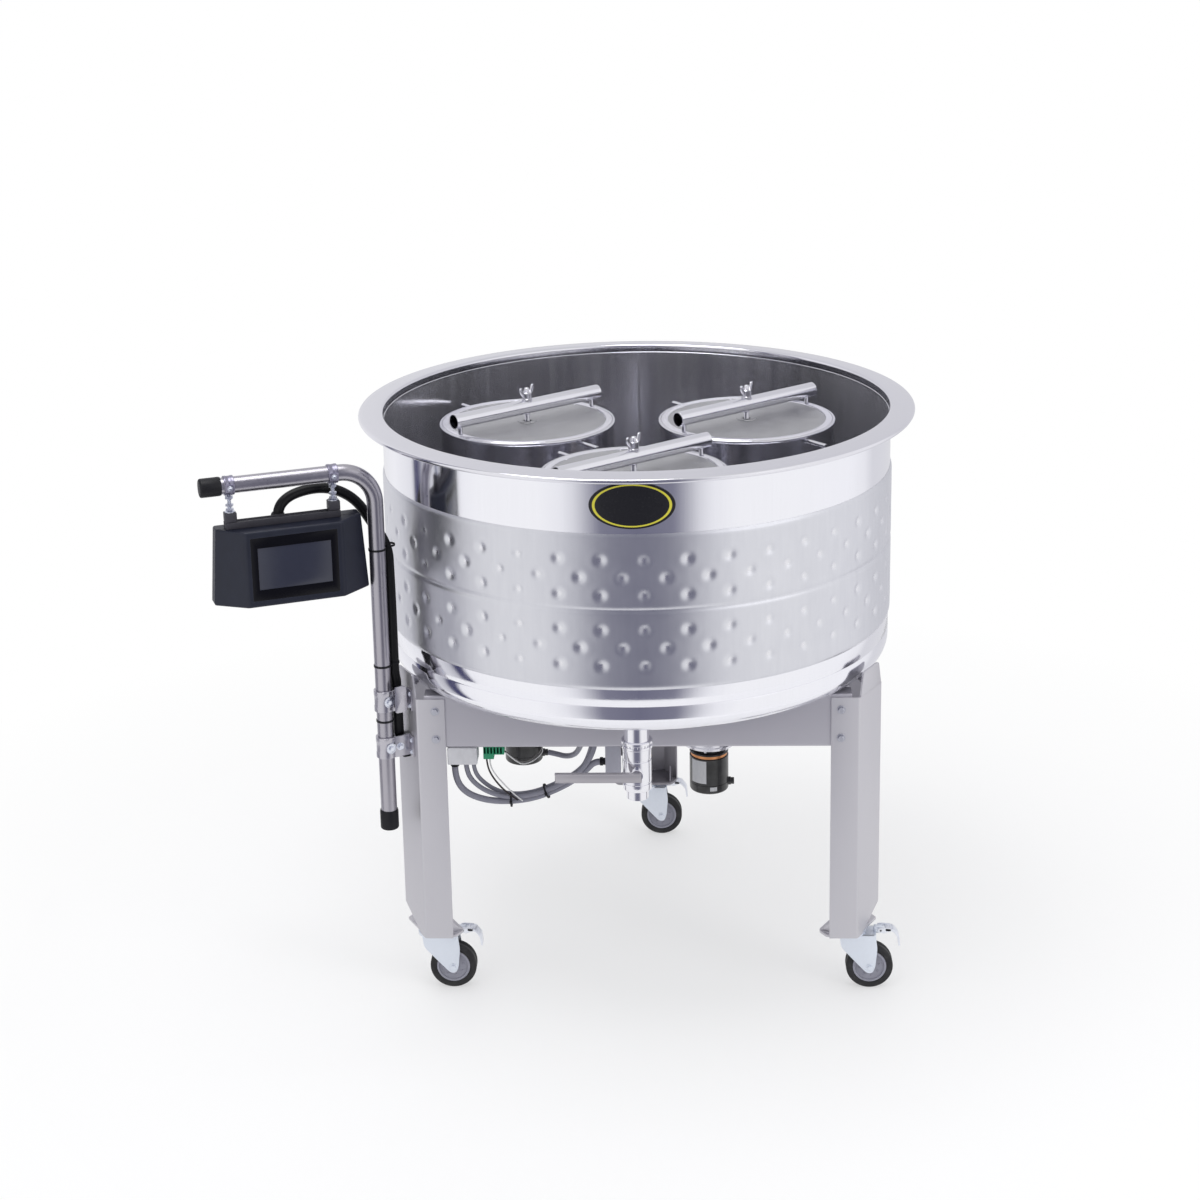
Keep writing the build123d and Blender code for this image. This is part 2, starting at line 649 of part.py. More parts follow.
def make_valve_body():
    """Ball valve body: a bore through it, a round seat for the ball and a boss for the stem."""
    body = tube(VALVE_R, 0, VALVE_BOTTOM_Z, VALVE_TOP_Z)
    body += tube(SPOUT_R, 0, VALVE_BOTTOM_Z - SPOUT_LENGTH, VALVE_BOTTOM_Z)
    boss_y = -VALVE_R - STEM_BOSS_REACH
    body += rod_between((0, 0, BALL_Z), (0, boss_y, BALL_Z), STEM_BOSS_R)
    body -= tube(OUTLET_BORE_R, 0, VALVE_BOTTOM_Z - SPOUT_LENGTH - 1, VALVE_TOP_Z + 1)
    body -= Pos(0, 0, BALL_Z) * Sphere(BALL_R + MOVING_GAP)
    body -= rod_between((0, 0, BALL_Z), (0, boss_y - 1, BALL_Z), STEM_R + RUNNING_GAP)
    return Pos(0, OUTLET_Y, 0) * body


def make_valve_lever():
    """Ball, stem and lever in one: the ball's bore lies across the flow while the lever is level."""
    handle_y = -VALVE_R - STEM_BOSS_REACH - MOVING_GAP
    turned = Pos(0, 0, BALL_Z) * Sphere(BALL_R)
    turned -= rod_between((-2 * BALL_R, 0, BALL_Z), (2 * BALL_R, 0, BALL_Z), OUTLET_BORE_R - BALL_WALL)
    stem_start = -(BALL_R**2 - STEM_R**2) ** 0.5 + 2
    turned += rod_between((0, stem_start, BALL_Z), (0, handle_y - LEVER_DEPTH, BALL_Z), STEM_R)
    half = LEVER_WIDTH / 2
    bar = block(LEVER_LENGTH + half, LEVER_DEPTH, LEVER_WIDTH, -LEVER_LENGTH, handle_y - LEVER_DEPTH, BALL_Z - half)
    hollow = block(
        LEVER_LENGTH - 2 * STEM_R - LEVER_T,
        LEVER_DEPTH - LEVER_T,
        LEVER_WIDTH - 2 * LEVER_T,
        -LEVER_LENGTH - 1,
        handle_y - LEVER_DEPTH + LEVER_T,
        BALL_Z - half + LEVER_T,
    )
    turned += bar - hollow
    return Pos(0, OUTLET_Y, 0) * turned


# Pumps

def make_motor():
    """Upright motor with a rounded end cap, a neck to the pump and a gland for its cable."""
    motor = tube(MOTOR_R, 0, MOTOR_BOTTOM_Z, MOTOR_BOTTOM_Z + MOTOR_HEIGHT)
    motor = fillet(motor.edges().sort_by(Axis.Z)[0], 6.0)
    top = MOTOR_BOTTOM_Z + MOTOR_HEIGHT
    motor += tube(MOTOR_NECK_R, 0, top, top + MOTOR_NECK_H)
    z = MOTOR_BOTTOM_Z + MOTOR_GLAND_LIFT
    return motor + rod_between((0, 0, z), (MOTOR_R + GLAND_LENGTH, 0, z), GLAND_R)


def make_pump_head():
    """Round volute on the motor, with a suction pipe from the kettle and a delivery pipe back to it."""
    bottom = MOTOR_BOTTOM_Z + MOTOR_HEIGHT + MOTOR_NECK_H
    head = tube(VOLUTE_R, 0, bottom, bottom + VOLUTE_HEIGHT)
    head += tube(PUMP_PIPE_R, 0, bottom, KETTLE_BASE_Z)
    z = bottom + VOLUTE_HEIGHT / 2
    side = VOLUTE_R - PUMP_PIPE_R
    outlet = rod_between((0, side, z), (PUMP_OUTLET_OFFSET, side, z), PUMP_PIPE_R)
    riser = Pos(PUMP_OUTLET_OFFSET, side, 0) * tube(PUMP_PIPE_R, 0, z, KETTLE_BASE_Z)
    elbow = Pos(PUMP_OUTLET_OFFSET, side, z) * Sphere(PUMP_PIPE_R)
    return head + outlet + elbow + riser


# Boxes under the front beam

def make_hung_box(size, x):
    length, depth, height = size
    return block(length, depth, height, x - length / 2, UNDER_BEAM_Y - depth / 2, BEAM_BOTTOM_Z - height)


def make_junction_box():
    box = make_hung_box(JUNCTION_BOX, JUNCTION_BOX_X)
    box = fillet(box.edges().filter_by(Axis.Z), 4.0)
    return box + rod_between(lead_start(GLAND_LENGTH + 1), lead_start(), GLAND_R)


def lead_start(back=0.0):
    """End of the junction box's gland, where the leads begin; back moves it towards the box."""
    length, _, height = JUNCTION_BOX
    z = BEAM_BOTTOM_Z - height - GLAND_LENGTH + back
    return (JUNCTION_BOX_X - length / 2 + GLAND_R + 4, UNDER_BEAM_Y, z)


def make_sensor_box():
    box = make_hung_box(SENSOR_BOX, SENSOR_BOX_X)
    box = chamfer(box.edges().filter_by(Axis.Y).sort_by(Axis.Z)[:2], 5.0)
    end = lead_end()
    return box + rod_between(end, (end[0] + GLAND_LENGTH + 1, end[1], end[2]), GLAND_R)


def lead_end():
    length, _, height = SENSOR_BOX
    return (SENSOR_BOX_X - length / 2 - GLAND_LENGTH, UNDER_BEAM_Y, BEAM_BOTTOM_Z - height * 0.62)


def make_green_connector():
    """Plug-in terminal block with a stepped front."""
    length, depth, height = GREEN_CONNECTOR
    box = make_hung_box(GREEN_CONNECTOR, GREEN_CONNECTOR_X)
    low = (GREEN_CONNECTOR_X, UNDER_BEAM_Y - depth / 2 - 1, BEAM_BOTTOM_Z - height - 1)
    return box - block(length / 2, depth + 2, height / 3, *low)


def cord_tube(points, radius, name):
    """Round tube along straight runs joined by arcs as large as the runs allow."""
    vectors = [Vector(*point) for point in points]
    runs = [b - a for a, b in zip(vectors, vectors[1:])]
    radii = []
    for first, second in zip(runs, runs[1:]):
        turn = first.get_angle(second)
        radii.append(0.45 * min(first.length, second.length) / tan(radians(turn / 2)))
    path = FilletPolyline(*points, radius=radii)
    section = Plane(origin=points[0], z_dir=runs[0]) * Circle(radius)
    cord = sweep(section, path=path)
    expected = path.length * pi * radius**2
    print(name, "length", round(path.length), "radii", [round(r) for r in radii])
    print(name, "volume against its length", round(cord.volume / expected, 4))
    return cord


def make_supply_leads():
    """Bundle that hangs in a loop from the junction box's gland to the sensor box."""
    start = lead_start()
    end = lead_end()
    points = [
        start,
        (start[0], start[1], start[2] - 30),
        (start[0] + 20, start[1] - 2, start[2] - 60),
        (start[0] + 62, start[1] - 3, start[2] - 77),
        (start[0] + 112, start[1] - 3, start[2] - 82),
        (start[0] + 166, start[1] - 2, start[2] - 72),
        (start[0] + 214, start[1] - 1, start[2] - 48),
        (start[0] + 256, start[1], start[2] - 20),
        (end[0] - 30, end[1], end[2]),
        end,
    ]
    return cord_tube(points, LEAD_R, "supply_leads")


def make_pump_cable():
    """Cable from the left motor's gland, up and forward to the gland inside the front beam."""
    x, y = PUMP_PLACES["left"]
    x += MOTOR_R + GLAND_LENGTH
    z = MOTOR_BOTTOM_Z + MOTOR_GLAND_LIFT
    end_y = -BEAM_FACE + SHEET + GLAND_LENGTH
    points = [
        (x, y, z),
        (x + 26, y, z),
        (x + 48, y - 6, z + 6),
        (x + 66, y - 22, z + 26),
        (x + 76, y - 50, z + 58),
        (x + 82, y - 96, z + 96),
        (x + 86, y - 150, z + 130),
        (x + 89, y - 206, z + 160),
        (x + 90, y - 262, z + 186),
        (PUMP_CABLE_X, end_y + 48, PUMP_CABLE_Z),
        (PUMP_CABLE_X, end_y, PUMP_CABLE_Z),
    ]
    return cord_tube(points, PUMP_CABLE_R, "pump_cable")


# Mast group. mast_point turns (along the arm, towards the viewer's side, height) into kettle coordinates

MAST_ANGLE = LEG_ANGLES["left"]
MAST_X, MAST_Y, _ = polar(LEG_R + MAST_STANDOFF, MAST_ANGLE)


def mast_point(along, side, z):
    direction = radians(ARM_ANGLE)
    x = MAST_X + along * cos(direction) - side * sin(direction)
    y = MAST_Y + along * sin(direction) + side * cos(direction)
    return (x, y, z)


def to_mast(solid):
    """Place a solid made along +X from the mast's axis."""
    return Pos(MAST_X, MAST_Y, 0) * Rot(0, 0, ARM_ANGLE) * solid


def make_mast():
    """One tube, bent once: up the leg and out as the arm."""
    path = FilletPolyline((0, 0, MAST_BOTTOM_Z), (0, 0, ARM_Z), (ARM_LENGTH, 0, ARM_Z), radius=ARM_BEND_R)
    start = Plane(origin=(0, 0, MAST_BOTTOM_Z), z_dir=(0, 0, 1))
    mast = sweep(start * (Circle(MAST_R) - Circle(MAST_R - MAST_WALL)), path=path)
    return to_mast(mast)


def make_tube_caps():
    """Two push-on plastic caps, one on the arm's end and one on the mast's foot."""
    outer = MAST_R + CAP_WALL
    foot = tube(outer, MAST_R, MAST_BOTTOM_Z, MAST_BOTTOM_Z + CAP_LENGTH)
    foot += tube(outer, 0, MAST_BOTTOM_Z - CAP_WALL, MAST_BOTTOM_Z)
    end = rod_between((ARM_LENGTH - CAP_LENGTH, 0, ARM_Z), (ARM_LENGTH + CAP_WALL, 0, ARM_Z), outer)
    end -= rod_between((ARM_LENGTH - CAP_LENGTH - 1, 0, ARM_Z), (ARM_LENGTH, 0, ARM_Z), MAST_R)
    return to_mast(Compound(children=[foot, end]))


def make_hanger():
    """Two pipe bands on the arm, each with a rod and block, joined by a bar on top of the control box."""
    band_r = MAST_R + HANGER_BAND_WALL
    bar_bottom = BOX_TOP_Z
    bar_top = bar_bottom + HANGER_BAR_HEIGHT
    low, high = HANGER_ALONG
    bar = block(
        high - low + 2 * HANGER_BAR_OVERHANG,
        HANGER_BAR_DEPTH,
        HANGER_BAR_HEIGHT,
        low - HANGER_BAR_OVERHANG,
        -HANGER_BAR_DEPTH / 2,
        bar_bottom,
    )
    length, depth, height = HANGER_BLOCK
    half_band = HANGER_BAND_WIDTH / 2
    for along in HANGER_ALONG:
        bar += block(length, depth, height, along - length / 2, -depth / 2, bar_top)
        bar += rod_between((along, 0, bar_top), (along, 0, ARM_Z - band_r + 1), HANGER_ROD_R)
        for rise in HANGER_NUT_RISES:
            nut_z = bar_top + height + rise
            bar += Pos(along, 0, 0) * tube(2 * HANGER_ROD_R, 0, nut_z, nut_z + HANGER_NUT_HEIGHT)
        band = rod_between((along - half_band, 0, ARM_Z), (along + half_band, 0, ARM_Z), band_r)
        band -= rod_between((along - half_band - 1, 0, ARM_Z), (along + half_band + 1, 0, ARM_Z), MAST_R)
        bar += band
    return to_mast(bar)


def make_control_box():
    """Moulded housing: a shallow rear half, and a front half whose sides slope in to the display face."""
    bottom = BOX_TOP_Z - BOX_HEIGHT
    top_half = BOX_BACK_TOP_WIDTH / 2
    low_half = BOX_BACK_BOTTOM_WIDTH / 2
    front_half = BOX_FRONT_WIDTH / 2
    back = [(-top_half, BOX_TOP_Z), (top_half, BOX_TOP_Z), (low_half, bottom), (-low_half, bottom)]
    front = [(-front_half, BOX_TOP_Z), (front_half, BOX_TOP_Z), (front_half, bottom), (-front_half, bottom)]
    back_face = make_face(Polyline(*[(x, 0, z) for x, z in back], close=True))
    front_face = make_face(Polyline(*[(x, BOX_FRONT_DEPTH, z) for x, z in front], close=True))
    box = extrude(back_face, BOX_BACK_DEPTH, dir=(0, -1, 0))
    box += loft([back_face, front_face], ruled=True)
    box = Pos(BOX_CENTRE, 0, 0) * box
    recess = block(DISPLAY_WIDTH, DISPLAY_T, DISPLAY_HEIGHT, 0, BOX_FRONT_DEPTH - DISPLAY_T, 0)
    return to_mast(box - Pos(BOX_CENTRE - DISPLAY_WIDTH / 2, 0, display_bottom()) * recess)


def display_bottom():
    return BOX_TOP_Z - BOX_HEIGHT / 2 - DISPLAY_HEIGHT / 2


def make_display():
    glass = block(DISPLAY_WIDTH, DISPLAY_T, DISPLAY_HEIGHT, 0, BOX_FRONT_DEPTH - DISPLAY_T, 0)
    return to_mast(Pos(BOX_CENTRE - DISPLAY_WIDTH / 2, 0, display_bottom()) * glass)


def cable_place():
    """Centre of the control cable where it runs down beside the mast."""
    offset = MAST_R + CABLE_R + TOUCH_GAP
    return (MAST_X + offset * cos(radians(CABLE_DIRECTION)), MAST_Y + offset * sin(radians(CABLE_DIRECTION)))


def make_control_cable():
    """From the top of the control box, over in a loop and down beside the mast to its last tie."""
    x, y = cable_place()
    points = [
        mast_point(196, -22, BOX_TOP_Z),
        mast_point(196, -22, BOX_TOP_Z + 22),
        mast_point(174, -30, BOX_TOP_Z + 42),
        mast_point(138, -38, BOX_TOP_Z + 50),
        mast_point(98, -44, BOX_TOP_Z + 50),
        mast_point(60, -46, BOX_TOP_Z + 38),
        mast_point(26, -42, BOX_TOP_Z + 12),
        mast_point(2, -41, BOX_TOP_Z - 30),
        (x - 3, y + 11, BOX_TOP_Z - 82),
        (x - 1, y + 3, BOX_TOP_Z - 140),
        (x, y, BOX_TOP_Z - 200),
        (x, y, CABLE_SPLIT_Z),
    ]
    return cord_tube(points, CABLE_R, "control_cable")


def make_cable_tail():
    """The last stretch, from the mast's tie down past the clamps into the hood on the leg."""
    x, y = cable_place()
    inward = (cos(radians(MAST_ANGLE + 180)), sin(radians(MAST_ANGLE + 180)))
    shift = CLAMP_WALL + CLAMP_RUNNING_GAP + TOUCH_GAP
    end = (x + shift * inward[0], y + shift * inward[1])
    points = [
        (x, y, CABLE_SPLIT_Z - TOUCH_GAP),
        (x, y, CABLE_SPLIT_Z - 18),
        (end[0], end[1], CABLE_SPLIT_Z - 40),
        (end[0], end[1], CABLE_END_Z),
    ]
    return cord_tube(points, CABLE_R, "cable_tail")


def cable_side():
    """Where the cable runs, measured across the leg from the mast's plane."""
    x, y = cable_place()
    across = radians(MAST_ANGLE + 90)
    return (x - MAST_X) * cos(across) + (y - MAST_Y) * sin(across)


def make_cable_hood():
    """Black hood on the leg's web that takes the cable in from above."""
    radial, wide, height = GLAND_HOOD
    hood = block(radial, wide, height, LEG_R, cable_side() - wide / 2, CABLE_END_Z - height)
    hood = chamfer(hood.edges().filter_by(Axis.Y).group_by(Axis.X)[-1].sort_by(Axis.Z)[0], HOOD_CHAMFER)
    return Rot(0, 0, MAST_ANGLE) * hood


def make_mast_clamp(z, winged):
    """Split ring round the mast on an arm welded to a foot on the leg's web. Made along +X."""
    bore = MAST_R + CLAMP_RUNNING_GAP
    outer = bore + CLAMP_WALL
    low = z - CLAMP_HEIGHT / 2
    centre = LEG_R + MAST_STANDOFF
    arm_low = outer - 1.5 * CLAMP_ARM_T
    clamp = Pos(centre, 0, 0) * tube(outer, 0, low, low + CLAMP_HEIGHT)
    clamp += block(MAST_STANDOFF, CLAMP_ARM_T, CLAMP_HEIGHT, LEG_R, arm_low, low)
    clamp += block(SHEET, CLAMP_FOOT, CLAMP_HEIGHT, LEG_R, arm_low, low)
    clamp -= Pos(centre, 0, 0) * tube(bore, 0, low - 1, low + CLAMP_HEIGHT + 1)
    screw_x = centre - MAST_STANDOFF / 2
    arm_high = arm_low + CLAMP_ARM_T
    screw_end = arm_high + CLAMP_SCREW_LENGTH
    clamp += rod_between((screw_x, arm_high - 1, z), (screw_x, screw_end, z), CLAMP_SCREW_R)
    if winged:
        length, thickness, height = CLAMP_WING
        clamp += block(length, thickness, height, screw_x - length / 2, screw_end - 1, low)
    return Rot(0, 0, MAST_ANGLE) * clamp


# Build every node round the kettle axis

def build_kettle():
    parts["kettle_shell"] = make_kettle_shell()
    parts["rim_flange"] = make_rim()
    parts["cooling_jacket"] = make_jacket()
    parts["badge_plate"] = make_badge()
    parts["heating_coil"] = make_heater()


def build_malt_pipes():
    pieces = {
        "centre_rod": make_centre_rod(),
        "malt_pipe": make_malt_pipe(),
        "sieve": make_sieve(),
        "hold_down_bar": make_bar(),
        "wing_nut": make_nut(),
    }
    for place, angle in PIPE_ANGLES.items():
        for name, solid in pieces.items():
            parts[f"{name}_{place}"] = Pos(*polar(PIPE_PITCH_R, angle)) * solid


def build_frame():
    beam = make_front_beam()
    gland_start = (PUMP_CABLE_X, -BEAM_FACE + SHEET - 1, PUMP_CABLE_Z)
    gland_end = (PUMP_CABLE_X, -BEAM_FACE + SHEET + GLAND_LENGTH, PUMP_CABLE_Z)
    parts["beam_front"] = beam + rod_between(gland_start, gland_end, GLAND_R)
    parts["beam_right"] = Rot(0, 0, 120) * beam
    parts["beam_left"] = Rot(0, 0, 240) * beam
    for place, angle in LEG_ANGLES.items():
        cut_side = 1 if place == "left" else -1
        parts[f"leg_{place}"] = Rot(0, 0, angle) * make_leg(cut_side)


def build_casters():
    pieces = {"fork": make_fork(), "wheel_hub": make_hub(), "tyre": make_tyre(), "brake_pedal": make_pedal()}
    for place, angle in LEG_ANGLES.items():
        for name, solid in pieces.items():
            parts[f"{name}_{place}"] = Pos(*polar(CASTER_PITCH_R, angle)) * solid


def build_underside():
    parts["outlet_neck"] = make_neck()
    parts["valve_body"] = make_valve_body()
    parts["valve_lever"] = make_valve_lever()
    for place, (x, y) in PUMP_PLACES.items():
        parts[f"pump_motor_{place}"] = Pos(x, y, 0) * make_motor()
        parts[f"pump_head_{place}"] = Pos(x, y, 0) * make_pump_head()
    parts["junction_box"] = make_junction_box()
    parts["green_connector"] = make_green_connector()
    parts["sensor_box"] = make_sensor_box()
    parts["supply_leads"] = make_supply_leads()
    parts["pump_cable"] = make_pump_cable()


def build_mast():
    parts["mast_tube"] = make_mast()
    parts["tube_caps"] = make_tube_caps()
    parts["box_hanger"] = make_hanger()
    parts["control_box"] = make_control_box()
    parts["display"] = make_display()
    parts["control_cable"] = make_control_cable()
    parts["cable_tail"] = make_cable_tail()
    parts["cable_hood"] = make_cable_hood()
    for place, z in CLAMP_Z.items():
        parts[f"mast_clamp_{place}"] = make_mast_clamp(z, place == "upper")


def main():
    build_kettle()
    build_malt_pipes()
    build_frame()
    build_casters()
    build_underside()
    build_mast()
    boxes = [solid.bounding_box() for solid in parts.values()]
    shift_x = -(min(box.min.X for box in boxes) + max(box.max.X for box in boxes)) / 2
    shift_y = -(min(box.min.Y for box in boxes) + max(box.max.Y for box in boxes)) / 2
    for name, solid in parts.items():
        export_step(Pos(shift_x, shift_y, 0) * solid, f"parts/{name}.step")
    print("nodes", len(parts))
    print("kettle axis at", round(shift_x, 3), round(shift_y, 3))
    print("mast axis", round(MAST_X + shift_x, 3), round(MAST_Y + shift_y, 3))
    for place, angle in LEG_ANGLES.items():
        x, y, _ = polar(CASTER_PITCH_R, angle)
        print("caster", place, round(x + shift_x, 3), round(y + shift_y, 3))
    for place, angle in PIPE_ANGLES.items():
        x, y, _ = polar(PIPE_PITCH_R, angle)
        print("pipe", place, round(x + shift_x, 3), round(y + shift_y, 3))
    pedal_z = LEG_BOTTOM_Z - MOVING_GAP - FORK_TOP_T + PEDAL_PIN_LIFT
    print("pedal pin at swivel +", PEDAL_PIN_X, "z", pedal_z)
    print("wheel axle at swivel +", CASTER_TRAIL, "z", WHEEL_R)


main()
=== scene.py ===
# %% [markdown]
# # An electric brewing system
#
# The object is a wide stainless kettle on three folded legs with casters. Three malt pipes stand in it, a
# dimpled cooling jacket runs round it, and a small controller hangs from a bent tube beside it. The measured
# CAD parts are loaded as a fixed frame. Everything made below is in metres and in that same frame, so a piece
# goes where the CAD part is, with no fitting.

# %% Load the measured frame
import json
import math

import bmesh
import bpy
import numpy as np
from mathutils import Matrix, Vector
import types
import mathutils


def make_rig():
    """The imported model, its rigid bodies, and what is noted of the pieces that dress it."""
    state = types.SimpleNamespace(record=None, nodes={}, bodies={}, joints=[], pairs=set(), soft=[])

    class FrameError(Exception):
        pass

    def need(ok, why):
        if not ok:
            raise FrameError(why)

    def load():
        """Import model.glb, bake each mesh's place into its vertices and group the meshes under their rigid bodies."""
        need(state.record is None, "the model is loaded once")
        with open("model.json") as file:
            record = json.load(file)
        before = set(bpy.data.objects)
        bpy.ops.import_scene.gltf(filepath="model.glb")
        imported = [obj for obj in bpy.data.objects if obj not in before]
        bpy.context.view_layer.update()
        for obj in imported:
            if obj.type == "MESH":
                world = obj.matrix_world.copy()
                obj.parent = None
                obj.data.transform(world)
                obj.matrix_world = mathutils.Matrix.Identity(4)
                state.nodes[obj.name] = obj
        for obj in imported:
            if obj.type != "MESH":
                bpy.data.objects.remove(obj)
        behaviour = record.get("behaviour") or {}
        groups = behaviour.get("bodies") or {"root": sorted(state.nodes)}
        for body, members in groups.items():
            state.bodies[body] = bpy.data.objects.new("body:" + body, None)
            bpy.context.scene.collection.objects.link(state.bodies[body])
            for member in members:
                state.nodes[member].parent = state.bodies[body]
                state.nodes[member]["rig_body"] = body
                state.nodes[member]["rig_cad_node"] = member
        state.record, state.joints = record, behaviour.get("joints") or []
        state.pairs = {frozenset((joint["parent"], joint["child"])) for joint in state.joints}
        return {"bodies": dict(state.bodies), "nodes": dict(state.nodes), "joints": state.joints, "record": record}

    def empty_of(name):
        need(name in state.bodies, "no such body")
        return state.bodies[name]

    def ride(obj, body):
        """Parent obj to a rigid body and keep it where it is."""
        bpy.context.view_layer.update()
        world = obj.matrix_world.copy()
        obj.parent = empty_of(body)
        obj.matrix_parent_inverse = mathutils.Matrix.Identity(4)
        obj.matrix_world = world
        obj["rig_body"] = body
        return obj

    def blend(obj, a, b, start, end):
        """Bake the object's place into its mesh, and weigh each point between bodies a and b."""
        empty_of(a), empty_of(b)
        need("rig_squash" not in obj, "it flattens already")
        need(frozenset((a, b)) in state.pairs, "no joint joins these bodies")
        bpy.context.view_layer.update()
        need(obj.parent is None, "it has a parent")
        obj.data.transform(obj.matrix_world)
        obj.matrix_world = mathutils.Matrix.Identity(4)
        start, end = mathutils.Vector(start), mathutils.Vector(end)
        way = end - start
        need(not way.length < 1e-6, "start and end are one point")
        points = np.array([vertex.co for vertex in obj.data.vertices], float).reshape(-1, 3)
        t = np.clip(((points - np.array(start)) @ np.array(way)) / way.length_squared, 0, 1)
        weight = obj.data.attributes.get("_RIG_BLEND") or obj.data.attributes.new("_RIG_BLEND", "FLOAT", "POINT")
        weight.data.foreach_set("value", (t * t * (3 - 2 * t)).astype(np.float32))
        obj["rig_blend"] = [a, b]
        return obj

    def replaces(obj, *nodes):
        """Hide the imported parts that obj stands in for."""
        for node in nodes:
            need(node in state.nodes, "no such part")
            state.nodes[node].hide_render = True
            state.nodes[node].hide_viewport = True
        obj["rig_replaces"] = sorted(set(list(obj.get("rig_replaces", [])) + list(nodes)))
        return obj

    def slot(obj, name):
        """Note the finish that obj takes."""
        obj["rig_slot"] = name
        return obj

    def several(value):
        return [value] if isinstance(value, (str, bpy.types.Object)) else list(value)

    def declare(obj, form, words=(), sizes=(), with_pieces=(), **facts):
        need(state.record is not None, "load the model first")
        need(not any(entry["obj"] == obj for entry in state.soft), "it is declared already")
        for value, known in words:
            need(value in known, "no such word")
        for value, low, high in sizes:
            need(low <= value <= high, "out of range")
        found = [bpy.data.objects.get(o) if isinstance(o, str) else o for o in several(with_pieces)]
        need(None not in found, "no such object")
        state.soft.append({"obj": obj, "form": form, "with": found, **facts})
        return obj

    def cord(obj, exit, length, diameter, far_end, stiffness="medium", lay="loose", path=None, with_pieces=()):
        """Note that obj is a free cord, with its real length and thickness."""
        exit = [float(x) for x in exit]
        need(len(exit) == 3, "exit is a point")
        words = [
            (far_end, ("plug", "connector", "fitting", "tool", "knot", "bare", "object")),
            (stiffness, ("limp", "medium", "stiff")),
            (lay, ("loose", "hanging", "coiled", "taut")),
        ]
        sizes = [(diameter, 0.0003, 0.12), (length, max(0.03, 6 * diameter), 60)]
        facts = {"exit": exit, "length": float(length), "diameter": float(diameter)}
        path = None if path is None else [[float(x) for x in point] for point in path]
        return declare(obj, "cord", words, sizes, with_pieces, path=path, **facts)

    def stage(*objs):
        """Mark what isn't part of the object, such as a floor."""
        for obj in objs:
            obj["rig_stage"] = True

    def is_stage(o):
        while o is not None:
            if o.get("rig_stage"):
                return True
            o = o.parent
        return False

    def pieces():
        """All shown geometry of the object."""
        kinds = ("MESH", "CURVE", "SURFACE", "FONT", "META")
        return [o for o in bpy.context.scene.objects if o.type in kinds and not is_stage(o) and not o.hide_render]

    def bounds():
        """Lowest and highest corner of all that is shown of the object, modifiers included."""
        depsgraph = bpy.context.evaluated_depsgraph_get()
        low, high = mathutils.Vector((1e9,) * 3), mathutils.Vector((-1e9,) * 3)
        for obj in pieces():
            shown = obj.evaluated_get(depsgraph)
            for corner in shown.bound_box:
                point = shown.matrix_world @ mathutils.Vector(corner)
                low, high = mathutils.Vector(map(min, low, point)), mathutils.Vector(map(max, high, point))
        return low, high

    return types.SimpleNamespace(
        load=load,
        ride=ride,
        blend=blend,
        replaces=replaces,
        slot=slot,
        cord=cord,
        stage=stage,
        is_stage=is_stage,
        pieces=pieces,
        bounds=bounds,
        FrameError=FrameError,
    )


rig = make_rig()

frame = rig.load()
cad_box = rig.bounds()
nodes = frame["nodes"]
KETTLE_X = 0.136868
print("CAD box", [round(v, 4) for corner in cad_box for v in corner], "nodes", len(nodes))

# %% [markdown]
# ## The camera
#
# The photograph was taken with a long lens from in front and a little above, with a slight roll, and the
# object sits below the middle of the picture. The camera's matrix is built from its own right, up and backward
# directions, because those can be set exactly, and a small lens shift makes the framing.

# %% Place the camera
CAMERA_PLACE = Vector((0.22084, -4.76908, 2.45468))
HEADING, PITCH, ROLL = math.radians(92.9616), math.radians(15.537), -0.024
forward = Vector((math.cos(HEADING) * math.cos(PITCH), math.sin(HEADING) * math.cos(PITCH), -math.sin(PITCH)))
level = Vector((math.sin(HEADING), -math.cos(HEADING), 0))
upright = level.cross(forward)
right = level * math.cos(ROLL) + upright * math.sin(ROLL)
up = upright * math.cos(ROLL) - level * math.sin(ROLL)
turn = Matrix((right, up, -forward)).transposed().to_4x4()
camera = bpy.data.objects.new("camera", bpy.data.cameras.new("camera"))
bpy.context.scene.collection.objects.link(camera)
camera.matrix_world = Matrix.Translation(CAMERA_PLACE) @ turn
camera.data.sensor_width = 36
camera.data.lens = 69.461
camera.data.shift_x = 0.03333
camera.data.shift_y = -0.125
camera.data.clip_end = 200
bpy.context.scene.camera = camera
bpy.context.scene.view_settings.view_transform = "Standard"
print("camera at", tuple(round(v, 3) for v in CAMERA_PLACE))

# %% [markdown]
# ## Writing materials as arithmetic
#
# A shader is a small sum: noise times a strength, plus a base colour. `Wire` wraps a socket so that such sums
# can be written with plus and times, and each sign adds its own Math node. `Finish` starts a material with one
# Principled shader and has one method that adds any other node. Both keep the recipes below short.

# %% A socket that does sums
class Wire:
    """An output socket that can be added, multiplied and compared like a number."""

    def __init__(self, tree, socket):
        self.tree, self.socket = tree, socket

    def math(self, operation, *values, clamp=False):
        maker = self.tree.nodes.new("ShaderNodeMath")
        maker.operation, maker.use_clamp = operation, clamp
        for place, value in zip(maker.inputs, values):
            plug(self.tree, place, value)
        return Wire(self.tree, maker.outputs[0])

    def __add__(self, other):
        return self.math("ADD", self, other)

    def __sub__(self, other):
        return self.math("SUBTRACT", self, other)

    def __rsub__(self, other):
        return self.math("SUBTRACT", other, self)

    def __mul__(self, other):
        return self.math("MULTIPLY", self, other)

    def __truediv__(self, other):
        return self.math("DIVIDE", self, other)

    __radd__, __rmul__ = __add__, __mul__

    def sin(self):
        return self.math("SINE", self)

    def root(self):
        return self.math("SQRT", self)

    def cut(self, low, high):
        """0 below low, 1 above high and a straight ramp between them."""
        return self.math("DIVIDE", self - low, high - low, clamp=True)


